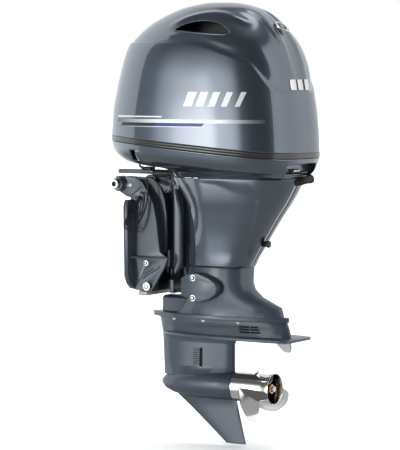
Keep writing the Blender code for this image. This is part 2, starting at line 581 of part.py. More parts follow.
# Power trim and tilt: a base on the lower pivot pin, the cylinder, its ram and the pump motor.
base = box("trim_base", (0.018, -0.094, -0.346), (0.087, 0.094, -0.290), BLACK, 0.006)
cut(base, rod("base_bore", (PIN_X, -0.130, PIN_Z), (PIN_X, 0.130, PIN_Z), 0.0083, BLACK, 16))
turned("tilt_cylinder", [(0.0, -0.280), (0.0175, -0.280), (0.0175, -0.078), (0.0100, -0.074), (0.0100, -0.062),
                         (0.024, -0.062), (0.026, -0.066), (0.026, -0.2895), (0.0, -0.2895)],
       BLACK, (RAM_X, 0, 0), steps=18)
ram = turned("tilt_ram", [(0.0, EYE_Z - 0.0085), (0.0092, EYE_Z - 0.0085), (0.0092, -0.258), (0.0165, -0.258),
                          (0.0165, -0.278), (0.0, -0.278)], CHROME, (RAM_X, 0, 0), steps=20)
join(ram, rod("ram_head", (RAM_X, -0.026, EYE_Z), (RAM_X, 0.026, EYE_Z), 0.0140, STEEL, 18))
join(ram, rod("ram_pin", (RAM_X, -0.050, EYE_Z), (RAM_X, 0.050, EYE_Z), 0.0075, STEEL, 14))
rod("trim_motor", (0.046, 0.068, -0.2897), (0.046, 0.068, -0.150), 0.027, BLACK, 20)
join(base, rod("trim_reservoir", (0.046, -0.066, -0.300), (0.046, -0.066, -0.170), 0.025, BLACK, 20))
pin = rod("lower_pivot_pin", (PIN_X, -0.146, PIN_Z), (PIN_X, 0.146, PIN_Z), 0.0080, STEEL, 16)
for side in (-1, 1):
    join(pin, rod("pin_head_%d" % side, (PIN_X, side * 0.1403, PIN_Z), (PIN_X, side * 0.1500, PIN_Z),
                  0.0115, STEEL, 16))
box("bracket_anode", (0.022, -0.126, -0.3640), (0.064, 0.126, -0.3485), ZINC, 0.003)

# ---------------------------------------------------------------------------------------------
# Leads and hoses that lie outside the casings.
cord("trim_sender_lead", [(0.042, -0.1520, 0.002), (0.037, -0.1580, -0.026), (0.027, -0.180, -0.070),
                          (0.018, -0.198, -0.106), (0.024, -0.203, -0.130), (0.042, -0.196, -0.136),
                          (0.064, -0.180, -0.114), (0.082, -0.164, -0.064), (0.086, -0.154, -0.006),
                          (0.082, -0.149, 0.040), (0.072, -0.142, 0.074)], 0.0032, RUBBER)
cord("engine_harness", [(HARNESS_X, HARNESS_Y, 0.158), (HARNESS_X, HARNESS_Y, 0.135), (-0.061, 0.011, 0.118),
                        (-0.054, 0.006, 0.1060), (-0.036, -0.008, 0.1040), (-0.014, -0.034, 0.1036),
                        (-0.002, -0.060, 0.1032), (0.006, -0.068, 0.1027), (0.0118, -0.0690, 0.1025)], 0.0045,
     RUBBER)
box("harness_connector", (0.0125, -0.082, 0.0965), (0.050, -0.050, 0.1080), BLACK, 0.003)
turned("flush_boot", [(0.0, 0.062), (0.005, 0.059), (0.010, 0.046), (0.0140, 0.028), (0.0145, 0.0), (0.0, 0.0)],
       BLACK, (0.080, -0.116, 0.0880), axis="X", steps=14)
outlet = as_mesh(cord("idle_outlet", [(0.598, 0.0, 0.0470), (0.636, 0.0, 0.0470), (0.655, 0.0060, 0.0490),
                                      (0.664, 0.0240, 0.0540), (0.667, 0.0420, 0.0590)], 0.0115, RUBBER))
cut(outlet, rod("outlet_mouth", (0.6637, 0.0220, 0.0533), (0.6690, 0.0540, 0.0622), 0.0088, RUBBER, 14))

# ---------------------------------------------------------------------------------------------
# Gearcase: strut, plate, torpedo and skeg in one casting.
STRUT_STATIONS = [
    (SPLASH_Z, 0.040, 0.586, 0.058, 2.0, 2.0),
    (-0.470, 0.046, 0.596, 0.052, 2.0, 2.0),
    (-0.506, 0.052, 0.606, 0.044, 2.0, 2.0),
]
upper = [oval(z, 0, front, rear, half, nose, tail, 0.24) for z, front, rear, half, nose, tail in STRUT_STATIONS]
gearcase = loft("gearcase", upper, PAINT)
PLATE = [(0.060, 0.0), (0.075, 0.030), (0.110, 0.056), (0.160, 0.074), (0.240, 0.092), (0.330, 0.102),
         (0.480, 0.108), (0.590, 0.106), (0.632, 0.092), (0.644, 0.070)]
join(gearcase, outline("plate", PLATE + [(x, -y) for x, y in reversed(PLATE) if y > 0],
                       PLATE_Z, -0.503, PAINT, axis="Z"))
lower = [oval(z, 0, front, rear, half, 2.0, 2.0, 0.20) for z, front, rear, half in (
    (-0.508, 0.052, 0.380, 0.034), (-0.540, 0.054, 0.366, 0.026), (-0.620, 0.058, 0.366, 0.028),
    (-0.665, 0.060, 0.366, 0.040))]
join(gearcase, loft("strut", lower, PAINT))
torpedo = turned("torpedo", [(0.0, 0.372), (0.0525, 0.372), (0.0540, 0.300), (0.0540, 0.220), (0.0500, 0.160),
                             (0.0410, 0.110), (0.0280, 0.074), (0.0130, 0.056), (0.0, 0.052)],
                 PAINT, (0, 0, PROP_Z), axis="X", steps=20)
join(gearcase, torpedo)

def skeg_section(depth):
    """One level of the skeg: a thin lens between its leading and trailing edges."""
    lead = 0.096 + (0.322 - 0.096) * (depth / 0.178) ** 0.95
    trail = 0.370 + 0.043 * (depth / 0.178)
    half = 0.0095 - 0.0055 * depth / 0.178
    return oval(-0.722 - depth, 0, lead, trail, half, 2.0, 2.0, lead + (trail - lead) * 0.4, count=16)


join(gearcase, loft("skeg", [skeg_section(d) for d in (0.0, 0.06, 0.12, 0.178, 0.184)], PAINT))
cut(gearcase, rod("gear_way", (0.160, 0, PROP_Z), (0.400, 0, PROP_Z), 0.0455, PAINT, 20))
cut(gearcase, rod("case_shaft_way", (DRIVE_X, 0, -0.690), (DRIVE_X, 0, -0.430), 0.0215, PAINT, 16))
cut(gearcase, rod("case_shift_way", (SHIFT_X, 0, -0.670), (SHIFT_X, 0, -0.430), 0.0062, PAINT, 10))
for tag, side in (("port", -1), ("starboard", 1)):
    inner, outer = across(side, 0.0215, 0.060)
    cut(gearcase, box("grille_seat_" + tag, (0.155, inner, -0.628), (0.197, outer, -0.562), PAINT))
    inner, outer = across(side, 0.0219, 0.0285)
    grille = box("inlet_grille_" + tag, (0.1555, inner, -0.6275), (0.1965, outer, -0.5625), PAINT)
    inner, outer = across(side, 0.0255, 0.0400)
    for k in range(7):
        z = -0.612 + 0.0075 * k
        cut(grille, box("louvre_%s_%d" % (tag, k), (0.160, inner, z), (0.192, outer, z + 0.0032), PAINT))
TAB = [(0.548, -0.5125), (0.598, -0.5125), (0.600, -0.556), (0.566, -0.555)]
outline("trim_tab", TAB, -0.006, 0.006, ZINC)

# ---------------------------------------------------------------------------------------------
# Drive: shaft, water pump, bevel gears, clutch and propeller.
rod("drive_shaft", (DRIVE_X, 0, -0.6560), (DRIVE_X, 0, 0.0857), 0.0115, GEARSTEEL, 16)
turned("water_pump", [(0.020, -0.402), (0.036, -0.404), (0.042, -0.416), (0.042, -0.4465), (0.0120, -0.4465),
                      (0.0120, -0.402)], BLACK, (DRIVE_X, 0, 0), steps=18, closed=True)
shift = rod("shift_rod", (SHIFT_X, 0, -0.640), (SHIFT_X, 0, 0.0930), 0.0040, STEEL, 10)
join(shift, box("shift_arm", (SHIFT_X - 0.008, -0.030, 0.0835), (SHIFT_X + 0.008, 0.006, 0.0895), STEEL))


def bevel_ring(teeth, radius, offset, add, ded, phase):
    """One toothed ring. Radius and offset place it on the pitch cone; add and ded are tooth heights."""
    ring = []
    lean = math.atan2(radius, offset)
    for k in range(teeth * 4):
        tooth, corner = divmod(k, 4)
        swing = (-0.27, -0.13, 0.13, 0.27)[corner] * 2 * math.pi / teeth
        rise = add if corner in (1, 2) else -ded
        angle = 2 * math.pi * tooth / teeth + swing + phase
        r = radius + rise * math.cos(lean)
        h = offset - rise * math.sin(lean)
        ring.append((r * math.cos(angle), r * math.sin(angle), h))
    return ring


def bevel_gear(name, teeth, radius, offset, toe, bore, back, turn, phase):
    """A straight bevel gear whose apex is the origin of its own frame and whose axis is +Z."""
    heel_ring = bevel_ring(teeth, radius, offset, 0.0014, 0.0032, phase)
    toe_ring = bevel_ring(teeth, radius * toe, offset * toe, 0.0014 * toe, 0.0032 * toe, phase)
    ob = loft(name, [toe_ring, heel_ring], GEARSTEEL, smooth=20)
    join(ob, rod(name + "_hub", (0, 0, offset - 0.004), (0, 0, back), radius * 0.75, GEARSTEEL, 14))
    cut(ob, rod(name + "_bore", (0, 0, 0), (0, 0, back + 0.01), bore, GEARSTEEL, 14))
    ob.rotation_euler = turn
    ob.location = APEX
    return ob


APEX = (DRIVE_X, 0, PROP_Z)
PINION_R = GEAR_R * PINION_TEETH / GEAR_TEETH
bevel_gear("pinion", PINION_TEETH, PINION_R, GEAR_R, 0.76, 0.0118, 0.0435, (0, 0, 0), math.pi)
bevel_gear("forward_gear", GEAR_TEETH, GEAR_R, PINION_R, 0.68, 0.0127, 0.0430, (0, -math.pi / 2, 0),
           math.pi / GEAR_TEETH)
bevel_gear("reverse_gear", GEAR_TEETH, GEAR_R, PINION_R, 0.68, 0.0127, 0.0430, (0, math.pi / 2, 0), math.pi)
turned("dog_clutch", [(0.0190, 0.0055), (0.0190, -0.0055), (0.0117, -0.0055), (0.0117, 0.0055)], GEARSTEEL,
       APEX, axis="X", steps=14, closed=True)
turned("bearing_carrier", [(0.0400, 0.3715), (0.0445, 0.3650), (0.0445, 0.2830), (0.0125, 0.2830),
                           (0.0125, 0.3715)], ALU, (0, 0, PROP_Z), axis="X", steps=18, closed=True)
rod("prop_shaft", (0.186, 0, PROP_Z), (0.534, 0, PROP_Z), 0.0110, STEEL, 18)

prop = turned("propeller", [(0.0575, 0.536), (0.0570, 0.526), (0.0545, 0.500), (HUB_R, 0.376), (0.0480, 0.3745),
                            (0.0480, 0.400), (0.0510, 0.520), (0.0545, 0.536)], CHROME, (0, 0, PROP_Z),
              axis="X", steps=22, closed=True)
core = turned("prop_core", [(0.0240, 0.500), (0.0260, 0.3760), (0.0115, 0.3760), (0.0115, 0.500)], CHROME,
              (0, 0, PROP_Z), axis="X", steps=14, closed=True)
join(prop, core)


def blade(turn_by):
    """One blade: a twisted, raked, leaf-shaped sheet of constant pitch, thin at its edges."""
    pitch = 0.40
    faces = []
    rows = 6
    for k in range(rows):
        u = k / (rows - 1)
        radius = 0.0500 + (PROP_R - 0.0500) * u
        chord = 0.105 * (0.86 + 0.9 * u - 1.15 * u * u) + 0.004
        if k == rows - 1:
            chord = 0.040
        twist = math.atan2(pitch, 2 * math.pi * radius)
        thick = 0.0070 * (1 - u) + 0.0022
        sweep = 0.10 * u * u
        rake = 0.442 + 0.38 * (radius - 0.050)
        loop = []
        for part, lift in ((-0.5, 0.0), (-0.2, 1.0), (0.2, 1.0), (0.5, 0.0), (0.2, -1.0), (-0.2, -1.0)):
            along = part * chord
            x = rake + along * math.sin(twist) + lift * thick / 2 * math.cos(twist)
            swing = turn_by + sweep + (along * math.cos(twist) - lift * thick / 2 * math.sin(twist)) / radius
            loop.append((x, -radius * math.sin(swing), PROP_Z + radius * math.cos(swing)))
        faces.append(loop)
    return faces


for k in range(3):
    join(prop, loft("blade_%d" % k, blade(2 * math.pi * k / 3), CHROME, smooth=50))
    angle = 2 * math.pi * (k + 0.5) / 3
    spoke = box("spoke_%d" % k, (0.385, -0.003, 0.018), (0.498, 0.003, 0.0495), CHROME)
    spoke.rotation_euler = (angle, 0, 0)
    spoke.location = (0, 0, PROP_Z)
    join(prop, spoke)
nut = rod("prop_nut", (0.5004, 0, PROP_Z), (0.524, 0, PROP_Z), 0.0185, BRASS, 6)
cut(nut, rod("prop_nut_bore", (0.480, 0, PROP_Z), (0.540, 0, PROP_Z), 0.0113, BRASS, 18))

# ---------------------------------------------------------------------------------------------
# Joints: each moving piece hangs on an empty that lies on its joint's axis.


def hang(name, at, parent, *pieces):
    """An empty on a joint's axis, with the pieces that ride on it as its children."""
    pivot = bpy.data.objects.new(name, None)
    pivot.empty_display_size = 0.05
    pivot.location = at
    PARTS.objects.link(pivot)
    if parent:
        pivot.parent = parent
        pivot.matrix_parent_inverse = PLACES[parent.name].inverted()
    PLACES[name] = Matrix.Translation(at)
    for piece in pieces:
        rider = PARTS.objects[piece]
        rider.parent = pivot
        rider.matrix_parent_inverse = PLACES[name].inverted()
    return pivot


PLACES = {}
MOTOR_PIECES = (
    "steering_arm", "lower_yoke", "upper_mount_port", "upper_mount_starboard", "lower_mount_port",
    "lower_mount_starboard", "lower_mount_cover_port", "lower_mount_cover_starboard", "bottom_cowl",
    "cowl_seal", "latch_recess", "engine_harness", "harness_connector", "flush_boot", "idle_outlet",
    "apron_port", "apron_starboard", "telltale_nozzle", "exhaust_guide", "upper_casing", "engine_block",
    "cylinder_head", "intake_silencer", "starter_motor", "flywheel_cover", "driveshaft_housing", "gearcase",
    "inlet_grille_port", "inlet_grille_starboard", "trim_tab", "water_pump", "bearing_carrier")
tilt = hang("tilt_axis", (TILT_X, 0, TILT_Z), None, "swivel_bracket")
steering = hang("steering_axis", (STEER_X, 0, 0), tilt, *MOTOR_PIECES)
hang("cowl_axis", (STEER_X, 0, SEAM_H), steering, "top_cowl", "vent_duct_port", "vent_duct_starboard",
     "cowl_emblem")
hang("latch_axis", (LATCH_X, 0, LATCH_Z), steering, "latch_lever")
hang("drive_axis", (DRIVE_X, 0, 0), steering, "flywheel", "drive_shaft", "pinion")
hang("shift_axis", (SHIFT_X, 0, 0), steering, "shift_rod")
hang("forward_gear_axis", APEX, steering, "forward_gear")
hang("reverse_gear_axis", APEX, steering, "reverse_gear")
propeller_axis = hang("propeller_axis", APEX, steering, "prop_shaft", "propeller", "prop_nut")
hang("clutch_axis", APEX, propeller_axis, "dog_clutch")
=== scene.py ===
"""Looks of the outboard motor: paint, rubber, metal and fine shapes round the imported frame.

Frame: +X aft, -Y port, +Y starboard, +Z up, metres. The origin is the middle of the transom's top edge.
"""

import json
import math

import bmesh
import bpy
from mathutils import Matrix, Vector
from mathutils.bvhtree import BVHTree


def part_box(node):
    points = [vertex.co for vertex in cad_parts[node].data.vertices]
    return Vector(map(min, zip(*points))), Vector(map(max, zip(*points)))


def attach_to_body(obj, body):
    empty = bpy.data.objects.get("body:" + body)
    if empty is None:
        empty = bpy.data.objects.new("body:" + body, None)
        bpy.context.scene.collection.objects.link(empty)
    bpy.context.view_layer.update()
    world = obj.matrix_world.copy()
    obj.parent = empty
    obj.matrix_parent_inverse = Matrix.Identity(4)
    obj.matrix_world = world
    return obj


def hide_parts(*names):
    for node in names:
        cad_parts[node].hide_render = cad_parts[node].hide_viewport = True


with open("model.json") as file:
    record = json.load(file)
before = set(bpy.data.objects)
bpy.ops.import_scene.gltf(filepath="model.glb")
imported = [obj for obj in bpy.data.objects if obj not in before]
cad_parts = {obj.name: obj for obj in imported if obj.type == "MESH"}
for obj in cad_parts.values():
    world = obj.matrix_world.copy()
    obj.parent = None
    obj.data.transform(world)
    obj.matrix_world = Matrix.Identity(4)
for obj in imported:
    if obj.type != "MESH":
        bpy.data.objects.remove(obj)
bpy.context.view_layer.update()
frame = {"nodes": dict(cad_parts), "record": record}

# Driving dimensions.
SEAM_X = 0.28           # the station at which a sloped line's height is given
SEAM_H = 0.190          # cowl parting plane at SEAM_X
SEAM_SLOPE = -0.082
SEAL_HALF = 0.0095
WIDEST_X = 0.30         # the station at which the cowl is widest
COWL_CROWN = (0.295, 0, 0.7128)
APRON_TOP = 0.0745
CASING_TOP = -0.2525
TILT_X = -0.045
TILT_Z = 0.048
PROP_Z = -0.693
FLOOR_Z = -0.915
SIDES = (("port", -1), ("starboard", 1))

# ---------------------------------------------------------------------------------------------
# Camera and studio.
VIEW_AT = Vector((0.214, 0.0, -0.105))
VIEW_TURN = math.radians(32)
VIEW_PITCH = math.radians(3.73)
VIEW_FAR = 8.5
VIEW_LENS = 184         # millimetres, on a 36 mm sensor

# The room's light: how strong each part is, and where the window is as (aft, port) shares.
AIR = 0.13
GROUND = 0.30
WALL = 1.5
WINDOW = (-0.342, 0.940)
WINDOW_POWER = 3.6
SKYLIGHT = 3.0
ROOM_TINT = (0.94, 0.98, 1.0, 1.0)
WHITE_LIGHT = (1.0, 1.0, 1.0, 1.0)


def camera():
    """A long lens, 32 degrees aft of the port beam and a little above the middle."""
    back = Vector((math.sin(VIEW_TURN) * math.cos(VIEW_PITCH), -math.cos(VIEW_TURN) * math.cos(VIEW_PITCH),
                   math.sin(VIEW_PITCH)))
    data = bpy.data.cameras.new("camera")
    data.lens = VIEW_LENS
    data.sensor_width = 36
    data.clip_end = 100
    ob = bpy.data.objects.new("camera", data)
    ob.location = VIEW_AT + back * VIEW_FAR
    ob.rotation_mode = "QUATERNION"
    ob.rotation_quaternion = (-back).to_track_quat("-Z", "Y")
    bpy.context.scene.collection.objects.link(ob)
    bpy.context.scene.camera = ob


def softbox(name, at, aim, size, power):
    """A rectangular light that faces a point and fades out towards its edges."""
    data = bpy.data.lights.new(name, "AREA")
    data.shape = "RECTANGLE"
    data.size = size[0]
    data.size_y = size[1]
    data.energy = power
    data.use_nodes = True
    nodes = data.node_tree.nodes
    links = data.node_tree.links
    where = nodes.new("ShaderNodeNewGeometry")
    centred = nodes.new("ShaderNodeVectorMath")
    centred.operation = "SUBTRACT"
    centred.inputs[1].default_value = (0.5, 0.5, 0.0)
    reach = nodes.new("ShaderNodeVectorMath")
    reach.operation = "LENGTH"
    fade = nodes.new("ShaderNodeMapRange")
    fade.interpolation_type = "SMOOTHERSTEP"
    fade.inputs["From Min"].default_value = 0.5
    fade.inputs["From Max"].default_value = 0.05
    fade.inputs["To Max"].default_value = 3.0
    links.new(where.outputs["Parametric"], centred.inputs[0])
    links.new(centred.outputs[0], reach.inputs[0])
    links.new(reach.outputs["Value"], fade.inputs["Value"])
    links.new(fade.outputs["Result"], nodes["Emission"].inputs["Strength"])
    ob = bpy.data.objects.new(name, data)
    ob.location = at
    ob.rotation_mode = "QUATERNION"
    ob.rotation_quaternion = (Vector(aim) - Vector(at)).to_track_quat("-Z", "Y")
    ob.visible_camera = False
    bpy.context.scene.collection.objects.link(ob)


def room_light(tree):
    """The strength of a grey room's light by direction: a white wall off each end, a window, a skylight."""
    def calc(operation, first, second=None, third=None):
        node = tree.nodes.new("ShaderNodeMath")
        node.operation = operation
        for socket, value in zip(node.inputs, (first, second, third)):
            if isinstance(value, (int, float)):
                socket.default_value = value
            elif value is not None:
                tree.links.new(value, socket)
        return node.outputs[0]

    def step(value, low, high):
        node = tree.nodes.new("ShaderNodeMapRange")
        node.interpolation_type = "SMOOTHSTEP"
        tree.links.new(value, node.inputs["Value"])
        node.inputs["From Min"].default_value = low
        node.inputs["From Max"].default_value = high
        return node.outputs["Result"]

    where = tree.nodes.new("ShaderNodeTexCoord")
    apart = tree.nodes.new("ShaderNodeSeparateXYZ")
    tree.links.new(where.outputs["Generated"], apart.inputs[0])
    x, y, z = apart.outputs
    level = calc("MAXIMUM", calc("SQRT", calc("ADD", calc("MULTIPLY", x, x), calc("MULTIPLY", y, y))), 0.001)
    port = calc("DIVIDE", calc("MULTIPLY", y, -1.0), level)
    aft = calc("DIVIDE", x, level)
    bow = calc("MULTIPLY", step(port, 0.530, 0.512), calc("LESS_THAN", aft, 0.0))
    stern = calc("MULTIPLY", step(port, 0.257, 0.243), calc("GREATER_THAN", aft, 0.0))
    ends = calc("ADD", bow, stern)
    wall = calc("MULTIPLY", ends, calc("MULTIPLY", step(z, -0.50, -0.20), step(z, 0.80, 0.70)))
    wall = calc("MULTIPLY", wall, calc("ADD", 0.55, calc("MULTIPLY", step(port, -1.0, 0.2), 0.45)))
    toward = calc("ADD", calc("MULTIPLY", aft, WINDOW[0]), calc("MULTIPLY", port, WINDOW[1]))
    height = calc("MULTIPLY", step(z, -0.45, -0.10), step(z, 0.60, -0.05))
    window = calc("MULTIPLY", step(toward, 0.905, 0.999), height)
    ground = calc("MULTIPLY", step(z, 0.0, -0.35), GROUND)
    total = calc("ADD", AIR, calc("ADD", ground, calc("MULTIPLY", wall, WALL)))
    total = calc("ADD", total, calc("MULTIPLY", window, WINDOW_POWER))
    over = calc("ADD", calc("MULTIPLY", y, 0.26), calc("MULTIPLY", z, 0.966))
    return calc("ADD", total, calc("MULTIPLY", step(over, 0.955, 0.985), SKYLIGHT))


def studio():
    """A white sweep behind, the grey room's light, a soft box in front and a floor that takes shadow."""
    world = bpy.data.worlds.new("studio")
    world.use_nodes = True
    tree = world.node_tree
    tree.nodes.clear()
    room = tree.nodes.new("ShaderNodeBackground")
    room.inputs["Color"].default_value = ROOM_TINT
    tree.links.new(room_light(tree), room.inputs["Strength"])
    sweep = tree.nodes.new("ShaderNodeBackground")
    sweep.inputs["Color"].default_value = WHITE_LIGHT
    sweep.inputs["Strength"].default_value = 1.0
    path = tree.nodes.new("ShaderNodeLightPath")
    mix = tree.nodes.new("ShaderNodeMixShader")
    out = tree.nodes.new("ShaderNodeOutputWorld")
    tree.links.new(path.outputs["Is Camera Ray"], mix.inputs[0])
    tree.links.new(room.outputs[0], mix.inputs[1])
    tree.links.new(sweep.outputs[0], mix.inputs[2])
    tree.links.new(mix.outputs[0], out.inputs["Surface"])
    bpy.context.scene.world = world
    bpy.context.scene.view_settings.view_transform = "Standard"
    bm = bmesh.new()
    bmesh.ops.create_grid(bm, x_segments=8, y_segments=8, size=60)
    floor = object_from("floor", bm)
    floor.location = (0, 0, FLOOR_Z)
    paint = material("floor_paint", (0.90, 0.90, 0.90), 0.9, grain=3.0, bump=0.0, tone=0.01)
    floor.data.materials.append(paint)
    floor.visible_diffuse = False
    floor.visible_glossy = False
    overhead = bpy.data.lights.new("floor_sun", "SUN")
    overhead.energy = 3.2
    overhead.angle = math.radians(70)
    sun = bpy.data.objects.new("floor_sun", overhead)
    bpy.context.scene.collection.objects.link(sun)
    only = bpy.data.collections.new("floor_only")
    only.objects.link(floor)
    sun.light_linking.receiver_collection = only
    softbox("front_box", (-2.0, -4.6, 0.2), (0.2, 0.0, -0.1), (1.8, 3.4), 30)


# ---------------------------------------------------------------------------------------------
# Materials.
TONE_SCALE = 9.0
COAT_ROUGHNESS = 0.02
COAT_IOR = 1.7


def material(name, colour, roughness, metallic=0.0, coat=0.0, tone=0.10, grain=260.0, bump=0.03, spread=0.06):
    """A Principled material whose colour, roughness and relief vary a little over the surface."""
    made = bpy.data.materials.new(name)
    made.use_nodes = True
    nodes = made.node_tree.nodes
    links = made.node_tree.links
    shader = nodes["Principled BSDF"]
    shader.inputs["Metallic"].default_value = metallic
    shader.inputs["Coat Weight"].default_value = coat
    shader.inputs["Coat Roughness"].default_value = COAT_ROUGHNESS
    shader.inputs["Coat IOR"].default_value = COAT_IOR
    where = nodes.new("ShaderNodeTexCoord")
    broad = nodes.new("ShaderNodeTexNoise")
    broad.inputs["Scale"].default_value = TONE_SCALE
    broad.inputs["Detail"].default_value = 3.0
    fine = nodes.new("ShaderNodeTexNoise")
    fine.inputs["Scale"].default_value = grain
    fine.inputs["Detail"].default_value = 2.0
    links.new(where.outputs["Object"], broad.inputs["Vector"])
    links.new(where.outputs["Object"], fine.inputs["Vector"])
    ramp = nodes.new("ShaderNodeValToRGB")
    dark = [c * (1 - tone) for c in colour]
    light = [min(1.0, c * (1 + tone)) for c in colour]
    ramp.color_ramp.elements[0].position = 0.3
    ramp.color_ramp.elements[0].color = (*dark, 1.0)
    ramp.color_ramp.elements[1].position = 0.7
    ramp.color_ramp.elements[1].color = (*light, 1.0)
    links.new(broad.outputs["Fac"], ramp.inputs["Fac"])
    links.new(ramp.outputs["Color"], shader.inputs["Base Color"])
    rough = nodes.new("ShaderNodeMapRange")
    rough.inputs["To Min"].default_value = max(0.02, roughness - spread)
    rough.inputs["To Max"].default_value = min(1.0, roughness + spread)
    links.new(fine.outputs["Fac"], rough.inputs["Value"])
    links.new(rough.outputs["Result"], shader.inputs["Roughness"])
    if bump:
        relief = nodes.new("ShaderNodeBump")
        relief.inputs["Strength"].default_value = bump
        relief.inputs["Distance"].default_value = 0.001
        links.new(fine.outputs["Fac"], relief.inputs["Height"])
        links.new(relief.outputs["Normal"], shader.inputs["Normal"])
    return made


PAINT = material("metallic_paint", (0.092, 0.113, 0.148), 0.36, 0.80, 1.0, tone=0.05, grain=1400.0, bump=0.10,
                 spread=0.10)
CAST = material("painted_casting", (0.080, 0.100, 0.132), 0.56, 0.38, 0.35, tone=0.07, grain=420.0, bump=0.14)
BLACK = material("moulded_black", (0.012, 0.012, 0.014), 0.42, tone=0.2, grain=500.0, bump=0.08)
RUBBER = material("black_rubber", (0.022, 0.019, 0.017), 0.50, tone=0.2, grain=330.0, bump=0.10)
SEAL = material("seal_rubber", (0.046, 0.040, 0.036), 0.30, coat=0.5, tone=0.15, grain=240.0, bump=0.05)
STEEL = material("stainless_steel", (0.60, 0.59, 0.57), 0.26, 1.0, tone=0.06, grain=600.0, bump=0.05)
CHROME = material("polished_steel", (0.80, 0.77, 0.74), 0.09, 1.0, tone=0.03, grain=300.0, bump=0.01,
                  spread=0.03)
MIRROR = material("mirror_steel", (0.97, 0.96, 0.95), 0.12, 1.0, tone=0.02, grain=260.0, bump=0.01,
                  spread=0.05)
ALUMINIUM = material("cast_aluminium", (0.40, 0.41, 0.42), 0.46, 0.9, tone=0.12, grain=260.0, bump=0.25)
BRASS = material("brass", (0.72, 0.50, 0.22), 0.26, 1.0, tone=0.10, grain=400.0, bump=0.05)
ZINC = material("zinc", (0.55, 0.56, 0.57), 0.55, 0.5, tone=0.12, grain=220.0, bump=0.25)
GEARSTEEL = material("gear_steel", (0.36, 0.36, 0.38), 0.34, 1.0, tone=0.10, grain=380.0, bump=0.06)
WHITE = material("white_print", (0.95, 0.95, 0.95), 0.50, 0.45, 0.0, tone=0.02, grain=700.0, bump=0.02)
BLUE = material("blue_print", (0.008, 0.055, 0.42), 0.50, 0.0, 0.15, tone=0.06, grain=700.0, bump=0.02)
LABEL = material("label_foil", (0.62, 0.63, 0.64), 0.38, 0.4, tone=0.08, grain=300.0, bump=0.04)
# Near-black that stands for the shade inside holes, slots and bores: painted shade.
PAINTED_SHADE = material("shadow_black", (0.004, 0.004, 0.005), 0.85, tone=0.2, grain=200.0, bump=0.02)

FACET_ANGLE = math.radians(38)
SLOT_LOOKS = {"cowl_paint": PAINT, "casting_paint": CAST, "black_plastic": BLACK, "rubber": RUBBER,
              "stainless": STEEL, "polished_stainless": CHROME, "cast_aluminium": ALUMINIUM, "brass": BRASS,
              "zinc": ZINC, "gear_steel": GEARSTEEL}


def dress_frame():
    """Gives each CAD node the look of its slot, welded facets, softened edges and smooth round faces."""
    slots = {part["node"]: part["material_slot"] for part in frame["record"]["subparts"]}
    for name, ob in frame["nodes"].items():
        ob.data.materials.clear()
        ob.data.materials.append(SLOT_LOOKS[slots[name]])
        worn = ob.data.attributes.get("custom_normal")
        if worn:
            ob.data.attributes.remove(worn)
        ob.data.shade_smooth()
        weld = ob.modifiers.new("weld", "WELD")
        weld.merge_threshold = 0.00001
        edge = ob.modifiers.new("edge", "BEVEL")
        edge.width = 0.0009
        edge.segments = 2
        edge.limit_method = "ANGLE"
        edge.angle_limit = FACET_ANGLE
        split = ob.modifiers.new("split", "EDGE_SPLIT")
        split.split_angle = FACET_ANGLE


# ---------------------------------------------------------------------------------------------
# Shape helpers.


def object_from(name, bm):
    """Turns a bmesh into a linked object and frees it."""
    mesh = bpy.data.meshes.new(name)
    bm.to_mesh(mesh)
    bm.free()
    ob = bpy.data.objects.new(name, mesh)
    bpy.context.scene.collection.objects.link(ob)
    return ob


def attach(ob, body, replaces):
    """Rides a piece on its body and the CAD nodes that it stands for."""
    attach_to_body(ob, body)
    if replaces:
        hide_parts(*replaces)
    return ob


def piece(name, bm, look, body, replaces=(), smooth=40):
    """Turns a bmesh in the row frame into a finished piece that rides on a body."""
    bmesh.ops.recalc_face_normals(bm, faces=bm.faces)
    ob = object_from(name, bm)
    ob.data.materials.append(look)
    ob.data.shade_smooth()
    ob.data.set_sharp_from_angle(angle=math.radians(smooth))
    return attach(ob, body, replaces)


def skin(rings, closed=True, ends=False):
    """A bmesh through matching rings of points."""
    bm = bmesh.new()
    grid = [[bm.verts.new(p) for p in ring] for ring in rings]
    count = len(rings[0])
    for low, high in zip(grid, grid[1:]):
        for i in range(count if closed else count - 1):
            j = (i + 1) % count
            bm.faces.new((low[i], low[j], high[j], high[i]))
    if ends:
        bm.faces.new(grid[0][::-1])
        bm.faces.new(grid[-1])
    return bm


def flowing(rows, steps, cyclic=False):
    """Rows of numbers with smooth in-between rows, by Catmull-Rom."""
    count = len(rows)
    out = []
    for k in range(count if cyclic else count - 1):
        if cyclic:
            a, b, c, d = (rows[(k + n) % count] for n in (-1, 0, 1, 2))
        else:
            a, b, c, d = (rows[min(max(k + n, 0), count - 1)] for n in (-1, 0, 1, 2))
        for step in range(steps):
            t = step / steps
            out.append(tuple(0.5 * (2 * q + (r - p) * t + (2 * p - 5 * q + 4 * r - s) * t * t
                                    + (3 * q - p - 3 * r + s) * t ** 3) for p, q, r, s in zip(a, b, c, d)))
    if not cyclic:
        out.append(tuple(rows[-1]))
    return out


def oval(height, slope, front, rear, half, nose, tail, count=120, inset=0.0):
    """A rounded plan outline: superellipse quarters in front of and behind its widest station."""
    ring = []
    for i in range(count):
        t = 2 * math.pi * (i + 0.5) / count
        c = math.cos(t)
        s = math.sin(t)
        power = 2 / (tail if c > 0 else nose)
        reach = (rear - inset - WIDEST_X) if c > 0 else (WIDEST_X - front - inset)
        x = WIDEST_X + reach * math.copysign(abs(c) ** power, c)
        y = (half - inset) * math.copysign(abs(s) ** power, s)
        ring.append((x, y, height + slope * (x - SEAM_X)))
    return ring


def ease(value, low, high):
    """0 below low, 1 above high, smooth between."""
    t = min(max((value - low) / (high - low), 0.0), 1.0)
    return t * t * (3 - 2 * t)


def push(bm, relief):
    """Moves each point along its normal by relief(point)."""
    bm.normal_update()
    moves = [v.normal * relief(v.co) for v in bm.verts]
    for v, move in zip(bm.verts, moves):
        v.co += move


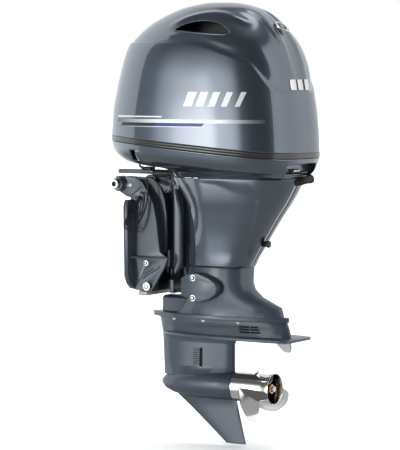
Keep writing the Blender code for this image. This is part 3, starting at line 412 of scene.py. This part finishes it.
def shell(ob, thickness):
    """Gives a skin its wall, inwards."""
    wall = ob.modifiers.new("wall", "SOLIDIFY")
    wall.thickness = thickness
    wall.offset = -1


def soften(ob, width, segments=3):
    """Rounds a piece's edges."""
    edge = ob.modifiers.new("edge", "BEVEL")
    edge.width = width
    edge.segments = segments


def hidden_cutter(name, bm):
    """A Boolean tool that isn't shown."""
    bmesh.ops.recalc_face_normals(bm, faces=bm.faces)
    ob = object_from(name, bm)
    ob.hide_render = True
    ob.hide_viewport = True
    return ob


def carve(ob, *cutters):
    """Cuts the tools out of a piece, applies the cut and removes them."""
    for cutter in cutters:
        mod = ob.modifiers.new("cut", "BOOLEAN")
        mod.operation = "DIFFERENCE"
        mod.solver = "EXACT"
        mod.object = cutter
    bpy.context.view_layer.update()
    seen = ob.evaluated_get(bpy.context.evaluated_depsgraph_get())
    mesh = bpy.data.meshes.new_from_object(seen)
    ob.modifiers.clear()
    ob.data = mesh
    for cutter in cutters:
        bpy.data.objects.remove(cutter, do_unlink=True)


def block_bm(low, high):
    """A block's bmesh between two corners."""
    bm = bmesh.new()
    size = [h - l for l, h in zip(low, high)]
    middle = [(h + l) / 2 for l, h in zip(low, high)]
    bmesh.ops.create_cube(bm, size=1.0, matrix=Matrix.Translation(middle) @ Matrix.Diagonal((*size, 1)))
    return bm


def prism_bm(outline, y_low, y_high):
    """An outline of (X, Z) points made solid between two Y levels."""
    return skin([[(x, y_low, z) for x, z in outline], [(x, y_high, z) for x, z in outline]], ends=True)


def block(name, low, high, look, body, soft=0.0015, replaces=()):
    """A block with rounded edges."""
    soften(piece(name, block_bm(low, high), look, body, replaces), soft)


def lathe(name, profile, at, direction, look, body, slot, steps=48, replaces=()):
    """A turned shape: (radius, along) pairs round an axis through a point."""
    turn = Vector(direction).to_track_quat("Z", "Y").to_matrix().to_4x4()
    place = Matrix.Translation(at) @ turn
    rings = []
    for k in range(steps):
        angle = 2 * math.pi * k / steps
        rings.append([place @ Vector((r * math.cos(angle), r * math.sin(angle), h)) for r, h in profile])
    bm = skin(rings + [rings[0]], closed=False)
    bmesh.ops.remove_doubles(bm, verts=bm.verts, dist=0.000005)
    piece(name, bm, look, body, replaces, smooth=30)


def bolt(name, at, direction, radius, body):
    """A washer and a domed round head."""
    head = [(0, 0.0075), (radius * 0.35, 0.0072), (radius * 0.62, 0.0060), (radius * 0.66, 0.0022),
            (radius, 0.0020), (radius, 0.0), (0, 0.0)]
    lathe(name, head, at, direction, STEEL, body, "stainless", steps=24)


def tube(name, route, radius, look, body, cyclic=False, replaces=()):
    """A round bar along a route."""
    curve = bpy.data.curves.new(name, "CURVE")
    curve.dimensions = "3D"
    curve.bevel_depth = radius
    curve.bevel_resolution = 3
    curve.use_fill_caps = True
    spline = curve.splines.new("POLY")
    spline.points.add(len(route) - 1)
    for point, p in zip(spline.points, route):
        point.co = (*p, 1)
    spline.use_cyclic_u = cyclic
    curve.materials.append(look)
    ob = bpy.data.objects.new(name, curve)
    bpy.context.scene.collection.objects.link(ob)
    attach(ob, body, replaces)


# ---------------------------------------------------------------------------------------------
# Cowling. Each station: height, slope, front, rear, half width, nose and tail exponents.
TOP_STATIONS = [
    (SEAM_H + 0.010, SEAM_SLOPE, -0.117, 0.661, 0.2445, 2.8, 3.2),
    (0.300, -0.070, -0.108, 0.655, 0.243, 2.8, 3.2),
    (0.400, -0.055, -0.088, 0.642, 0.236, 2.8, 3.1),
    (0.490, -0.035, -0.066, 0.621, 0.226, 2.8, 3.0),
    (0.560, -0.020, -0.040, 0.593, 0.208, 2.8, 2.9),
    (0.610, -0.010, 0.005, 0.557, 0.180, 2.6, 2.7),
    (0.655, 0.0, 0.068, 0.512, 0.139, 2.4, 2.5),
    (0.690, 0.0, 0.148, 0.457, 0.092, 2.3, 2.3),
    (0.708, 0.0, 0.225, 0.392, 0.048, 2.1, 2.1),
    (0.7120, 0.0, 0.255, 0.335, 0.020, 2.0, 2.0),
]
BOTTOM_STATIONS = [
    (SEAM_H - 0.0115, SEAM_SLOPE, -0.117, 0.661, 0.2445, 2.8, 3.2),
    (0.135, -0.085, -0.104, 0.647, 0.232, 2.8, 3.2),
    (0.108, -0.070, -0.050, 0.634, 0.200, 2.8, 3.2),
    (0.099, -0.060, 0.110, 0.6315, 0.172, 3.0, 3.2),
    (0.0770, 0.0, 0.158, 0.630, 0.150, 3.0, 3.2),
]
FLOOR_HOLE = (0.0770, 0.0, 0.166, 0.575, 0.112, 6.0, 6.0)
PRINT_LIFT = 0.0005
BAND_PAINT = (0.105, 0.130, 0.165, 1.0)
BAND_WHITE = (0.93, 0.93, 0.93, 1.0)
VENT = [(0.216, 0.6100), (0.262, 0.6345), (0.330, 0.6430), (0.395, 0.6320), (0.436, 0.6090), (0.450, 0.5965),
        (0.442, 0.5925), (0.400, 0.5935), (0.320, 0.5990), (0.255, 0.6055)]


def crease_height(x):
    """The shoulder line: level over the bow half, falling away aft."""
    return 0.567 - 0.010 * ease(x, -0.05, -0.12) - 0.080 * ease(x, 0.26, 0.62) - 0.100 * ease(x, 0.52, 0.64)


def cowl_relief(point):
    """Shoulder scallop, brow and lip round the intake, and the raised spine down the stern."""
    x, y, z = point
    above = z - crease_height(x)
    side = ease(abs(y), 0.050, 0.110)
    scallop = -0.0050 * ease(above, -0.0005, 0.0050) * (1 - ease(above, 0.012, 0.075)) * side
    lip = 0.0012 * ease(above, 0.018, 0.030) * (1 - ease(above, 0.034, 0.046))
    lip *= ease(x, 0.170, 0.250) * (1 - ease(x, 0.420, 0.500)) * side
    brow_line = 0.668 - 1.75 * (x - 0.345) ** 2
    brow = 0.0050 * math.exp(-((z - brow_line) / 0.010) ** 2)
    brow *= ease(x, 0.16, 0.25) * (1 - ease(x, 0.47, 0.51))
    aft = ease(x, 0.43, 0.50) * ease(z, 0.36, 0.50)
    ridge = 0.0040 * (1 - ease(abs(y), 0.060, 0.067)) * aft
    channel = -0.0040 * (1 - ease(abs(y), 0.027, 0.033)) * aft
    return scallop + lip + brow * side + ridge + channel


def top_cowl():
    """The lift-off cowl with its intakes cut through; gives its surface and the intakes' outline."""
    rings = [oval(*row, count=200) for row in flowing(TOP_STATIONS, 16)]
    bm = skin(rings)
    bm.verts.ensure_lookup_table()
    last = list(bm.verts)[-len(rings[0]):]
    crown = bm.verts.new(COWL_CROWN)
    for i in range(len(last)):
        bm.faces.new((last[i], last[(i + 1) % len(last)], crown))
    bmesh.ops.recalc_face_normals(bm, faces=bm.faces)
    push(bm, cowl_relief)
    tree = BVHTree.FromBMesh(bm)
    ob = piece("cowl_skin", bm, PAINT, "top", ["top_cowl"], smooth=60)
    shell(ob, 0.0032)
    outline = flowing(VENT, 5, cyclic=True)
    carve(ob, *[hidden_cutter("vent_%d" % side, prism_bm(outline, *sorted((side * 0.105, side * 0.30))))
                for _, side in SIDES])
    return tree, outline


def vent_trim(outline):
    """The rolled rim of each intake and the raised sill along its lower edge."""
    sill = [(x, z - 0.0015) for x, z in outline if z < 0.6085 and x < 0.445]
    for tag, side in SIDES:
        tube("vent_rim_" + tag, [on_cowl(x, z, side, 0.0002) for x, z in outline], 0.0014, PAINT, "top",
             cyclic=True)
        tube("vent_sill_" + tag, [on_cowl(x, z, side, 0.0006) for x, z in sill], 0.0030, PAINT, "top")


def on_cowl(x, z, side, lift):
    """The point of the cowl's flank at X and Z, raised by lift."""
    hit, normal = COWL_TREE.ray_cast(Vector((x, -1.0, z)), Vector((0, 1, 0)))[:2]
    if normal.y > 0:
        normal = -normal
    raised = hit + normal * lift
    return Vector((raised.x, -side * raised.y, raised.z))


def on_stern(y, z, lift):
    """The point of the cowl's stern at Y and Z, raised by lift."""
    hit, normal = COWL_TREE.ray_cast(Vector((1.5, y, z)), Vector((-1, 0, 0)))[:2]
    if normal.x < 0:
        normal = -normal
    return hit + normal * lift


def decal(name, x_low, x_high, bottom, top, look, side, columns, slant=0.0):
    """A print that lies on the cowl's flank, between two stations and two heights."""
    rings = [[on_cowl(x_low + (x_high - x_low) * k / columns + slant * up, bottom + (top - bottom) * up, side,
                      PRINT_LIFT) for k in range(columns + 1)] for up in (0, 0.5, 1)]
    piece(name, skin(rings, closed=False), look, "top")


def fading_white():
    """The white band's print, which fades into the paint towards both of its ends."""
    made = WHITE.copy()
    made.name = "fading_white_print"
    nodes = made.node_tree.nodes
    links = made.node_tree.links
    where = nodes.new("ShaderNodeTexCoord")
    apart = nodes.new("ShaderNodeSeparateXYZ")
    links.new(where.outputs["Object"], apart.inputs[0])
    aft = nodes.new("ShaderNodeMapRange")
    aft.inputs["From Min"].default_value = 0.600
    aft.inputs["From Max"].default_value = 0.440
    fore = nodes.new("ShaderNodeMapRange")
    fore.inputs["From Min"].default_value = -0.030
    fore.inputs["From Max"].default_value = 0.200
    both = nodes.new("ShaderNodeMath")
    both.operation = "MULTIPLY"
    links.new(apart.outputs["X"], aft.inputs["Value"])
    links.new(apart.outputs["X"], fore.inputs["Value"])
    links.new(aft.outputs["Result"], both.inputs[0])
    links.new(fore.outputs["Result"], both.inputs[1])
    mix = nodes.new("ShaderNodeMix")
    mix.data_type = "RGBA"
    mix.inputs[6].default_value = BAND_PAINT
    mix.inputs[7].default_value = BAND_WHITE
    links.new(both.outputs[0], mix.inputs[0])
    links.new(mix.outputs[2], nodes["Principled BSDF"].inputs["Base Color"])
    return made


def prints():
    """Generic stripes and slanted marks on each flank, and three bars on the stern."""
    band = fading_white()
    stripes = (("band_", -0.020, 0.600, 0.2765, 0.2895, band, 60, 0.0),
               ("band_edge_", -0.020, 0.380, 0.2615, 0.2640, band, 40, 0.0),
               ("blue_bar_", 0.170, 0.372, 0.2650, 0.2765, BLUE, 24, 0.012),
               ("dark_bar_", 0.000, 0.170, 0.2650, 0.2765, BLACK, 20, 0.012),
               ("thin_bar_", -0.022, 0.200, 0.2960, 0.3010, WHITE, 24, 0.004))
    for tag, side in SIDES:
        for name, low, high, bottom, top, look, columns, slant in stripes:
            decal(name + tag, low, high, bottom, top, look, side, columns, slant)
        for k in range(5):
            start = 0.292 + 0.052 * k
            end = start + 0.038 - 0.005 * k
            decal("mark_%d_%s" % (k, tag), start, end, 0.336, 0.388, WHITE, side, 6, 0.020)
    for k in range(3):
        low = -0.066 + 0.048 * k
        rings = [[on_stern(low + 0.034 * u, 0.394 + 0.038 * v, 0.0030) for u in (0, 0.5, 1)]
                 for v in (0, 0.5, 1)]
        bar = piece("stern_bar_%d" % k, skin(rings, closed=False), CHROME, "top")
        shell(bar, 0.0028)
        soften(bar, 0.0012, 2)


def badge():
    """A plain round badge with rings, let into the spine."""
    at = Vector((0.557, 0.0, 0.6165))
    up = Vector((0.60, 0.0, 0.80)).normalized()
    disc = [(0, 0.0085), (0.020, 0.0085), (0.021, 0.0090), (0.0235, 0.0090), (0.0245, 0.0084),
            (0.0262, 0.0084), (0.0272, 0.0092), (0.0296, 0.0088), (0.030, 0.0075), (0.030, 0.0040),
            (0, 0.0040)]
    lathe("badge_disc", disc, at, up, STEEL, "top", "cast_aluminium", replaces=["cowl_emblem"])
    lathe("badge_field", [(0, 0.0089), (0.0195, 0.0089), (0.0195, 0.0080), (0, 0.0080)], at, up, BLACK, "top",
          "black_plastic")
    lathe("badge_boss", [(0, 0.0102), (0.006, 0.0100), (0.0085, 0.0090), (0.0085, 0.0085), (0, 0.0085)],
          at, up, STEEL, "top", "cast_aluminium")


def bottom_cowl():
    """The pan under the seam, with its latch pocket and cable slot."""
    rings = [oval(*row) for row in flowing(BOTTOM_STATIONS, 8)] + [oval(*FLOOR_HOLE)]
    ob = piece("pan_skin", skin(rings), PAINT, "motor", ["bottom_cowl"], smooth=60)
    shell(ob, 0.0040)
    carve(ob,
          hidden_cutter("latch_window", block_bm((0.590, -0.0965, 0.0820), (0.720, 0.0965, 0.1310))),
          hidden_cutter("cable_slot", block_bm((0.050, -0.240, 0.138), (0.074, -0.180, 0.176))))


def seam_seal():
    """The rubber band between the cowls, with a rounded lip."""
    lip = ((-1.0, 0.0090), (-1.0, 0.0018), (-0.86, 0.0004), (-0.55, 0.0), (-0.10, 0.0006), (0.0, 0.0012),
           (0.10, 0.0006), (0.55, 0.0), (0.86, 0.0004), (1.0, 0.0018), (1.0, 0.0090))
    rings = [oval(SEAM_H + drop * SEAL_HALF, SEAM_SLOPE, -0.1178, 0.6618, 0.2453, 2.8, 3.2, inset=inset)
             for drop, inset in lip]
    piece("seam_band", skin(rings), SEAL, "motor", ["cowl_seal"], smooth=60)


# ---------------------------------------------------------------------------------------------
# Apron. Each row: height, front edge X and half width, half width at the widest station, rear X.
APRON_WIDEST_X = 0.32
STERN_GAP = 0.0003      # half of the seam between the apron's halves
APRON_ROWS = [
    (APRON_TOP, 0.158, 0.094, 0.148, 0.632),
    (0.040, 0.180, 0.095, 0.144, 0.617),
    (-0.010, 0.212, 0.095, 0.135, 0.588),
    (-0.060, 0.234, 0.094, 0.122, 0.553),
    (-0.140, 0.246, 0.090, 0.104, 0.501),
    (CASING_TOP, 0.240, 0.080, 0.086, 0.433),
]


def apron_line(row, side):
    """The plan line of one apron half, from its front edge round to the stern seam."""
    height, front, front_half, half, rear = row
    fore_steps, aft_steps = 16, 40
    line = []
    for k in range(fore_steps):
        u = k / fore_steps
        line.append((front + (APRON_WIDEST_X - front) * u,
                     side * (front_half + (half - front_half) * math.sin(math.pi / 2 * u)), height))
    for k in range(aft_steps + 1):
        t = math.pi / 2 * k / aft_steps
        x = APRON_WIDEST_X + (rear - APRON_WIDEST_X) * math.sin(t) ** (2 / 3.4)
        line.append((x, side * max(STERN_GAP, half * math.cos(t) ** (2 / 2.6)), height))
    return line


def apron_relief(point):
    """A shallow panel in each flank that deepens towards its top and its rear edge."""
    x, y, z = point
    rear_edge = 0.530 + 0.36 * min(z, 0.0) - 0.50 * max(0.0, z - 0.010)
    inside = ease(x, 0.270, 0.420) * (1 - ease(x, rear_edge - 0.006, rear_edge + 0.004))
    top_edge = 0.058 - 0.05 * ease(x, 0.34, 0.50)
    return -0.0050 * inside * (1 - ease(z, top_edge, 0.070)) * ease(z, -0.245, -0.195)


def aprons():
    """Both halves of the mid-section cover."""
    for tag, side in SIDES:
        bm = skin([apron_line(row, side) for row in flowing(APRON_ROWS, 10)], closed=False)
        bmesh.ops.recalc_face_normals(bm, faces=bm.faces)
        push(bm, apron_relief)
        ob = piece("apron_skin_" + tag, bm, PAINT, "motor", ["apron_" + tag], smooth=60)
        shell(ob, 0.0035)


# ---------------------------------------------------------------------------------------------
# Propeller.
PROP_R = 0.167
PROP_AXIS = ((0, 0, PROP_Z), (1, 0, 0))
BLADE_ROOT_R = 0.0500
BLADE_PITCH = 0.40


def blade_rings(turn_by):
    """One blade: a twisted, raked, leaf-shaped sheet of constant pitch, thin at its edges."""
    rings = []
    rows, points = 26, 20
    for k in range(rows):
        u = k / (rows - 1)
        radius = BLADE_ROOT_R + (PROP_R - BLADE_ROOT_R) * u
        chord = (0.105 * (0.86 + 0.9 * u - 1.15 * u * u) + 0.004) * (1 - 0.62 * ease(u, 0.86, 1.0))
        twist = math.atan2(BLADE_PITCH, 2 * math.pi * radius)
        thick = 0.0070 * (1 - u) + 0.0020
        sweep = 0.10 * u * u
        rake = 0.446 + 0.46 * (radius - BLADE_ROOT_R)
        ring = []
        for j in range(points):
            angle = 2 * math.pi * j / points
            along = -math.cos(angle) * chord / 2
            lift = math.sin(angle) * thick / 2
            x = rake + along * math.sin(twist) + lift * math.cos(twist)
            swing = turn_by + sweep + (along * math.cos(twist) - lift * math.sin(twist)) / radius
            ring.append((x, -radius * math.sin(swing), PROP_Z + radius * math.cos(swing)))
        rings.append(ring)
    return rings


def propeller():
    """Polished hub with a flared, ribbed exhaust mouth, and three blades."""
    hub = [(0.0480, 0.3745), (0.0540, 0.376), (0.0543, 0.420), (0.0543, 0.498), (0.0552, 0.510),
           (0.0566, 0.522), (0.0574, 0.531), (0.0574, 0.5355), (0.0566, 0.5360), (0.0548, 0.5345),
           (0.0520, 0.522), (0.0505, 0.480), (0.0480, 0.400), (0.0480, 0.3745)]
    lathe("hub_shell", hub, *PROP_AXIS, CHROME, "prop", "polished_stainless", steps=96,
          replaces=["propeller"])
    core = [(0.0115, 0.3760), (0.0260, 0.3760), (0.0246, 0.492), (0.0236, 0.5), (0.0115, 0.5)]
    lathe("hub_core", core, *PROP_AXIS, CHROME, "prop", "polished_stainless")
    for k in range(3):
        turn = 2 * math.pi * k / 3
        blade = piece("blade_%d" % k, skin(blade_rings(turn), ends=True), MIRROR, "prop",
                      smooth=60)
        rounded = blade.modifiers.new("round", "SUBSURF")
        rounded.levels = 1
        rounded.render_levels = 1
        spoke = block_bm((0.385, -0.003, 0.018), (0.498, 0.003, 0.0500))
        spin = Matrix.Translation((0, 0, PROP_Z)) @ Matrix.Rotation(2 * math.pi * (k + 0.5) / 3, 4, "X")
        bmesh.ops.transform(spoke, matrix=spin, verts=spoke.verts)
        piece("spoke_%d" % k, spoke, CHROME, "prop")


# ---------------------------------------------------------------------------------------------
# Leads. The harness repeats the route of its CAD tube. The sender lead keeps the ends of its own, with
# the lowest turn drawn higher, and a second strand lies beside it.
SENDER_ROUTE = [(0.042, -0.1520, 0.002), (0.037, -0.1580, -0.024), (0.025, -0.180, -0.058),
                (0.012, -0.198, -0.090), (0.018, -0.203, -0.112), (0.038, -0.197, -0.117),
                (0.060, -0.182, -0.094), (0.078, -0.166, -0.048), (0.084, -0.155, -0.002),
                (0.081, -0.149, 0.040), (0.072, -0.142, 0.074)]
SECOND_STRAND = [(0.046, -0.1500, 0.000), (0.046, -0.1620, -0.028), (0.034, -0.186, -0.062),
                 (0.020, -0.203, -0.088), (0.030, -0.206, -0.104), (0.046, -0.198, -0.100),
                 (0.064, -0.180, -0.068), (0.074, -0.166, -0.030), (0.070, -0.156, 0.004),
                 (0.058, -0.150, 0.018), (0.048, -0.147, 0.012)]
HARNESS_ROUTE = [(-0.062, 0.012, 0.158), (-0.062, 0.012, 0.135), (-0.061, 0.011, 0.118),
                 (-0.054, 0.006, 0.1060), (-0.036, -0.008, 0.1040), (-0.014, -0.034, 0.1036),
                 (-0.002, -0.060, 0.1032), (0.006, -0.068, 0.1027), (0.0118, -0.0690, 0.1025)]


def leads():
    """The sender lead and its ties on the port bracket, and the lead from the cowl to its connector."""
    tube("sender_lead_skin", flowing(SENDER_ROUTE, 6), 0.0032, RUBBER, "clamp",
         replaces=["trim_sender_lead"])
    tube("sender_lead_turn", flowing(SECOND_STRAND, 6), 0.0030, RUBBER, "clamp")
    for k, at in enumerate(((0.045, -0.151, -0.004), (0.076, -0.146, 0.056))):
        tube("lead_tie_%d" % k, [(at[0] + 0.0065 * math.cos(t), at[1] - 0.0015, at[2] + 0.0065 * math.sin(t))
                                 for t in (math.pi * i / 8 for i in range(16))],
             0.0016, BLACK, "clamp", cyclic=True)
    tube("harness_skin", flowing(HARNESS_ROUTE, 6), 0.0045, RUBBER, "motor",
         replaces=["engine_harness"])


# ---------------------------------------------------------------------------------------------
# Fastenings and small parts of the lower unit and bracket.
FLANGE_Z = -0.4505
STRUT_TOP = -0.540
STRUT_WIDEST_X = 0.200
STRUT_REAR_X = 0.366
OUTLET_MOUTH = ((0.652, 0.047, 0.0736), (0.07, 1, 0.10))
WEB_RIBS = (((0.054, -0.300), (0.118, -0.262)), ((0.118, -0.262), (0.128, -0.250)),
            ((0.060, -0.286), (0.100, -0.262)), ((0.004, 0.006), (0.048, 0.040)))


def oblong(low, high, count=8):
    """A stadium outline between two corners in X and Z."""
    radius = min(high[0] - low[0], high[1] - low[1]) / 2
    line = []
    for cx, cz, start in ((high[0] - radius, high[1] - radius, 0), (low[0] + radius, high[1] - radius, 90),
                          (low[0] + radius, low[1] + radius, 180), (high[0] - radius, low[1] + radius, 270)):
        for k in range(count + 1):
            t = math.radians(start + 90 * k / count)
            line.append((cx + radius * math.cos(t), cz + radius * math.sin(t)))
    return line


def tree_of(node):
    """A ray-cast tree of a CAD node's own faces."""
    mesh = frame["nodes"][node].data
    return BVHTree.FromPolygons([v.co[:] for v in mesh.vertices], [list(p.vertices) for p in mesh.polygons])


def side_of(tree, x, z, side, lift):
    """Where a line from the side meets a tree's faces, raised by lift."""
    hit, normal = tree.ray_cast(Vector((x, side * 0.6, z)), Vector((0, -side, 0)))[:2]
    if normal.y * side < 0:
        normal = -normal
    return hit + normal * lift


def patch(name, tree, low, high, side, look, body, lift, cells):
    """A thin sheet over a rectangle of a surface seen from the side."""
    rings = [[side_of(tree, low[0] + (high[0] - low[0]) * i / cells, low[1] + (high[1] - low[1]) * j / cells,
                      side, lift) for i in range(cells + 1)] for j in range(cells + 1)]
    return piece(name, skin(rings, closed=False), look, body)


def strut_side(x, z, side, lift):
    """The flank of the gearcase strut, which is a smooth oval that swells a little downwards."""
    share = min(max((STRUT_TOP - z) / 0.080, 0.0), 1.0)
    front = 0.054 + 0.004 * share
    half = 0.026 + 0.002 * share
    reach = (STRUT_REAR_X - STRUT_WIDEST_X) if x > STRUT_WIDEST_X else (STRUT_WIDEST_X - front)
    return Vector((x, side * (half * math.sqrt(1 - ((x - STRUT_WIDEST_X) / reach) ** 2) + lift), z))


def sunk(name, outline, point, depths):
    """A recess drawn as a shallow black solid between two depths of a surface; its black is painted shade."""
    rings = [[point(x, z, depth) for x, z in outline] for depth in depths]
    piece(name, skin(rings, ends=True), PAINTED_SHADE, "motor")


def lower_unit():
    """Cover bolts, flange bolts, idle relief slots, water inlets and the zinc tab."""
    case = tree_of("gearcase")
    for tag, side in SIDES:
        def on_case(x, z, lift):
            return side_of(case, x, z, side, lift)

        def on_strut(x, z, lift):
            return strut_side(x, z, side, lift)

        for k, z in enumerate((-0.2915, -0.3650)):
            bolt("cover_bolt_%d_%s" % (k, tag), (0.253, side * 0.1125, z), (0, side, 0), 0.0115, "motor")
        for k, x in enumerate((0.130, 0.262, 0.407)):
            bolt("flange_bolt_%d_%s" % (k, tag), on_case(x, FLANGE_Z, -0.001), (0, side, 0), 0.0066, "motor")
        for k in range(3):
            z = -0.4665 - 0.0100 * k
            for j, (start, end) in enumerate(((0.410, 0.452), (0.456, 0.486 + 0.004 * k))):
                outline = oblong((start, z - 0.0030), (end, z + 0.0030))
                sunk("relief_%d_%d_%s" % (k, j, tag), outline, on_case, (-0.004, 0.0007))
        cover = [[on_strut(0.064 + 0.296 * i / 24, -0.638 + 0.100 * j / 6, 0.0009) for i in range(25)]
                 for j in range(7)]
        piece("strut_skin_" + tag, skin(cover, closed=False), CAST, "motor",
              ["inlet_grille_" + tag])
        well = oblong((0.2290, -0.6280), (0.2410, -0.5560))
        sunk("inlet_well_" + tag, well, on_strut, (-0.002, 0.0017))
        for k in range(9):
            z = -0.6185 + 0.0070 * k
            slit = oblong((0.2020, z - 0.0013), (0.2260, z + 0.0013), 4)
            sunk("inlet_slot_%d_%s" % (k, tag), slit, on_strut, (-0.002, 0.0014))
        tube("inlet_rim_" + tag, [on_strut(x, z, 0.0015) for x, z in well], 0.0011, CAST, "motor",
             cyclic=True)
        bolt("inlet_screw_" + tag, on_strut(0.2355, -0.6320, 0.0), (0, side, 0), 0.0042, "motor")
    tab = prism_bm([(0.526, -0.5125), (0.600, -0.5125), (0.603, -0.540), (0.597, -0.555), (0.577, -0.555)],
                   -0.006, 0.006)
    soften(piece("zinc_fin", tab, ZINC, "motor", ["trim_tab"]), 0.002)


def casing_fairings():
    """The dark curved cheeks in front of the casing, behind the swivel bracket."""
    rows = [(0.030, 0.160, 0.168), (0.002, 0.160, 0.176), (-0.055, 0.160, 0.190), (-0.150, 0.160, 0.191),
            (-0.236, 0.160, 0.190), (-0.268, 0.160, 0.178), (-0.280, 0.160, 0.168)]
    for tag, side in SIDES:
        rings = []
        for z, fore, aft in flowing(rows, 5):
            line = [(fore, 0.0935), (fore + (aft - fore) * 0.5, 0.0932), (aft - 0.006, 0.0915),
                    (aft - 0.001, 0.088), (aft, 0.082), (aft - 0.003, 0.072), (aft - 0.012, 0.060)]
            rings.append([(x, side * y, z) for x, y in flowing(line, 3)])
        cheek = piece("fairing_" + tag, skin(rings, closed=False), CAST, "motor", smooth=60)
        shell(cheek, 0.003)


def latch():
    """The painted floor of the latch pocket, its polished pivot, the dark handle and the outlet below."""
    block("latch_floor", (0.606, -0.0920, 0.0990), (0.6165, 0.0920, 0.1265), PAINT, "motor",
          0.002)
    lathe("latch_pivot", [(0, 0.044), (0.0055, 0.044), (0.0075, 0.042), (0.0075, 0.026), (0.0055, 0.0245),
                          (0.0055, 0.019), (0.0075, 0.0175), (0.0075, 0.002), (0.0055, 0.0), (0, 0.0)],
          (0.6245, -0.034, 0.1045), (0, 1, 0), CHROME, "latch", "polished_stainless")
    block("latch_handle", (0.6170, 0.004, 0.0925), (0.6310, 0.070, 0.1035), BLACK, "latch",
          0.0035, ["latch_lever"])
    route = flowing([(0.600, 0.0, 0.0620), (0.628, 0.001, 0.0640), (0.642, 0.008, 0.0675),
                     (0.650, 0.024, 0.0710), (0.652, 0.046, 0.0735)], 6)
    tube("outlet_elbow", route, 0.0148, RUBBER, "motor", replaces=["idle_outlet"])
    lathe("outlet_mouth", [(0.0125, -0.006), (0.0155, -0.006), (0.0165, -0.003), (0.0165, 0.0045),
                           (0.0150, 0.0060), (0.0120, 0.0050), (0.0120, -0.001), (0.0, -0.001)],
          *OUTLET_MOUTH, RUBBER, "motor", "rubber")
    # The bore's black is painted shade.
    lathe("outlet_bore", [(0, 0.0018), (0.0118, 0.0018), (0.0118, 0.0002), (0, 0.0002)], *OUTLET_MOUTH, PAINTED_SHADE,
          "motor", "rubber")


def bracket():
    """Bolts, nuts, ribs and the label plate of the transom clamps, and the boot and connector by the arm."""
    for tag, side in SIDES:
        web = tree_of("clamp_bracket_" + tag)
        axle = ((TILT_X, side * 0.1503, TILT_Z), (0, side, 0))
        nut = [(0.0100, 0.034), (0.0160, 0.034), (0.0195, 0.031), (0.0205, 0.026), (0.0205, 0.018),
               (0.0235, 0.016), (0.0235, 0.006), (0.0215, 0.0), (0.0100, 0.0)]
        lathe("tilt_nut_skin_" + tag, nut, *axle, STEEL, "clamp", "stainless", steps=40,
              replaces=["tilt_nut_" + tag])
        lathe("tilt_plug_" + tag, [(0, 0.029), (0.0060, 0.029), (0.0105, 0.027), (0.0105, 0.010), (0, 0.010)],
              *axle, BLACK, "clamp", "black_plastic")
        lathe("tilt_boss_" + tag, [(0.0170, 0.004), (0.0255, 0.004), (0.0285, 0.0005), (0.0290, -0.030),
                                   (0.0170, -0.030)],
              (TILT_X, side * 0.1500, TILT_Z), (0, side, 0), CAST, "clamp", "casting_paint", steps=40)
        low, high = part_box("lower_pivot_pin")
        pivot = ((low[0] + high[0]) / 2, side * 0.1495, (low[2] + high[2]) / 2)
        bolt("pivot_bolt_" + tag, pivot, (0, side, 0), 0.0150, "clamp")
        bolt("web_bolt_" + tag, (0.067, side * 0.1395, -0.243), (0, side, 0), 0.0100, "clamp")
        for k, ((x0, z0), (x1, z1)) in enumerate(WEB_RIBS):
            line = [side_of(web, x0 + (x1 - x0) * i / 6, z0 + (z1 - z0) * i / 6, side, 0.0004)
                    for i in range(7)]
            tube("web_rib_%d_%s" % (k, tag), line, 0.0024, CAST, "clamp")
        plate = patch("label_%s" % tag, web, (-0.022, 0.036), (0.008, 0.050), side, LABEL, "clamp",
                      0.0008, 4)
        shell(plate, 0.0007)
    boot = [(0, 0.086), (0.0035, 0.083), (0.0075, 0.070), (0.0120, 0.050), (0.0138, 0.030), (0.0145, 0.012),
            (0.0145, 0.008), (0.0135, 0.007), (0.0135, 0.004), (0.0145, 0.003), (0.0145, 0.0), (0, 0.0)]
    lathe("boot_skin", boot, (0.092, -0.1205, 0.0880), (1, 0, 0.02), RUBBER, "motor", "rubber", steps=40,
          replaces=["flush_boot"])
    for k in range(5):
        x = 0.0155 + 0.0075 * k
        block("connector_rib_%d" % k, (x, -0.0835, 0.0955), (x + 0.0035, -0.0485, 0.1095), BLACK, "motor",
              0.0008)


# ---------------------------------------------------------------------------------------------
dress_frame()
camera()
studio()
leads()
COWL_TREE, vent_outline = top_cowl()
vent_trim(vent_outline)
prints()
badge()
bottom_cowl()
seam_seal()
aprons()
propeller()
lower_unit()
latch()
casing_fairings()
bracket()
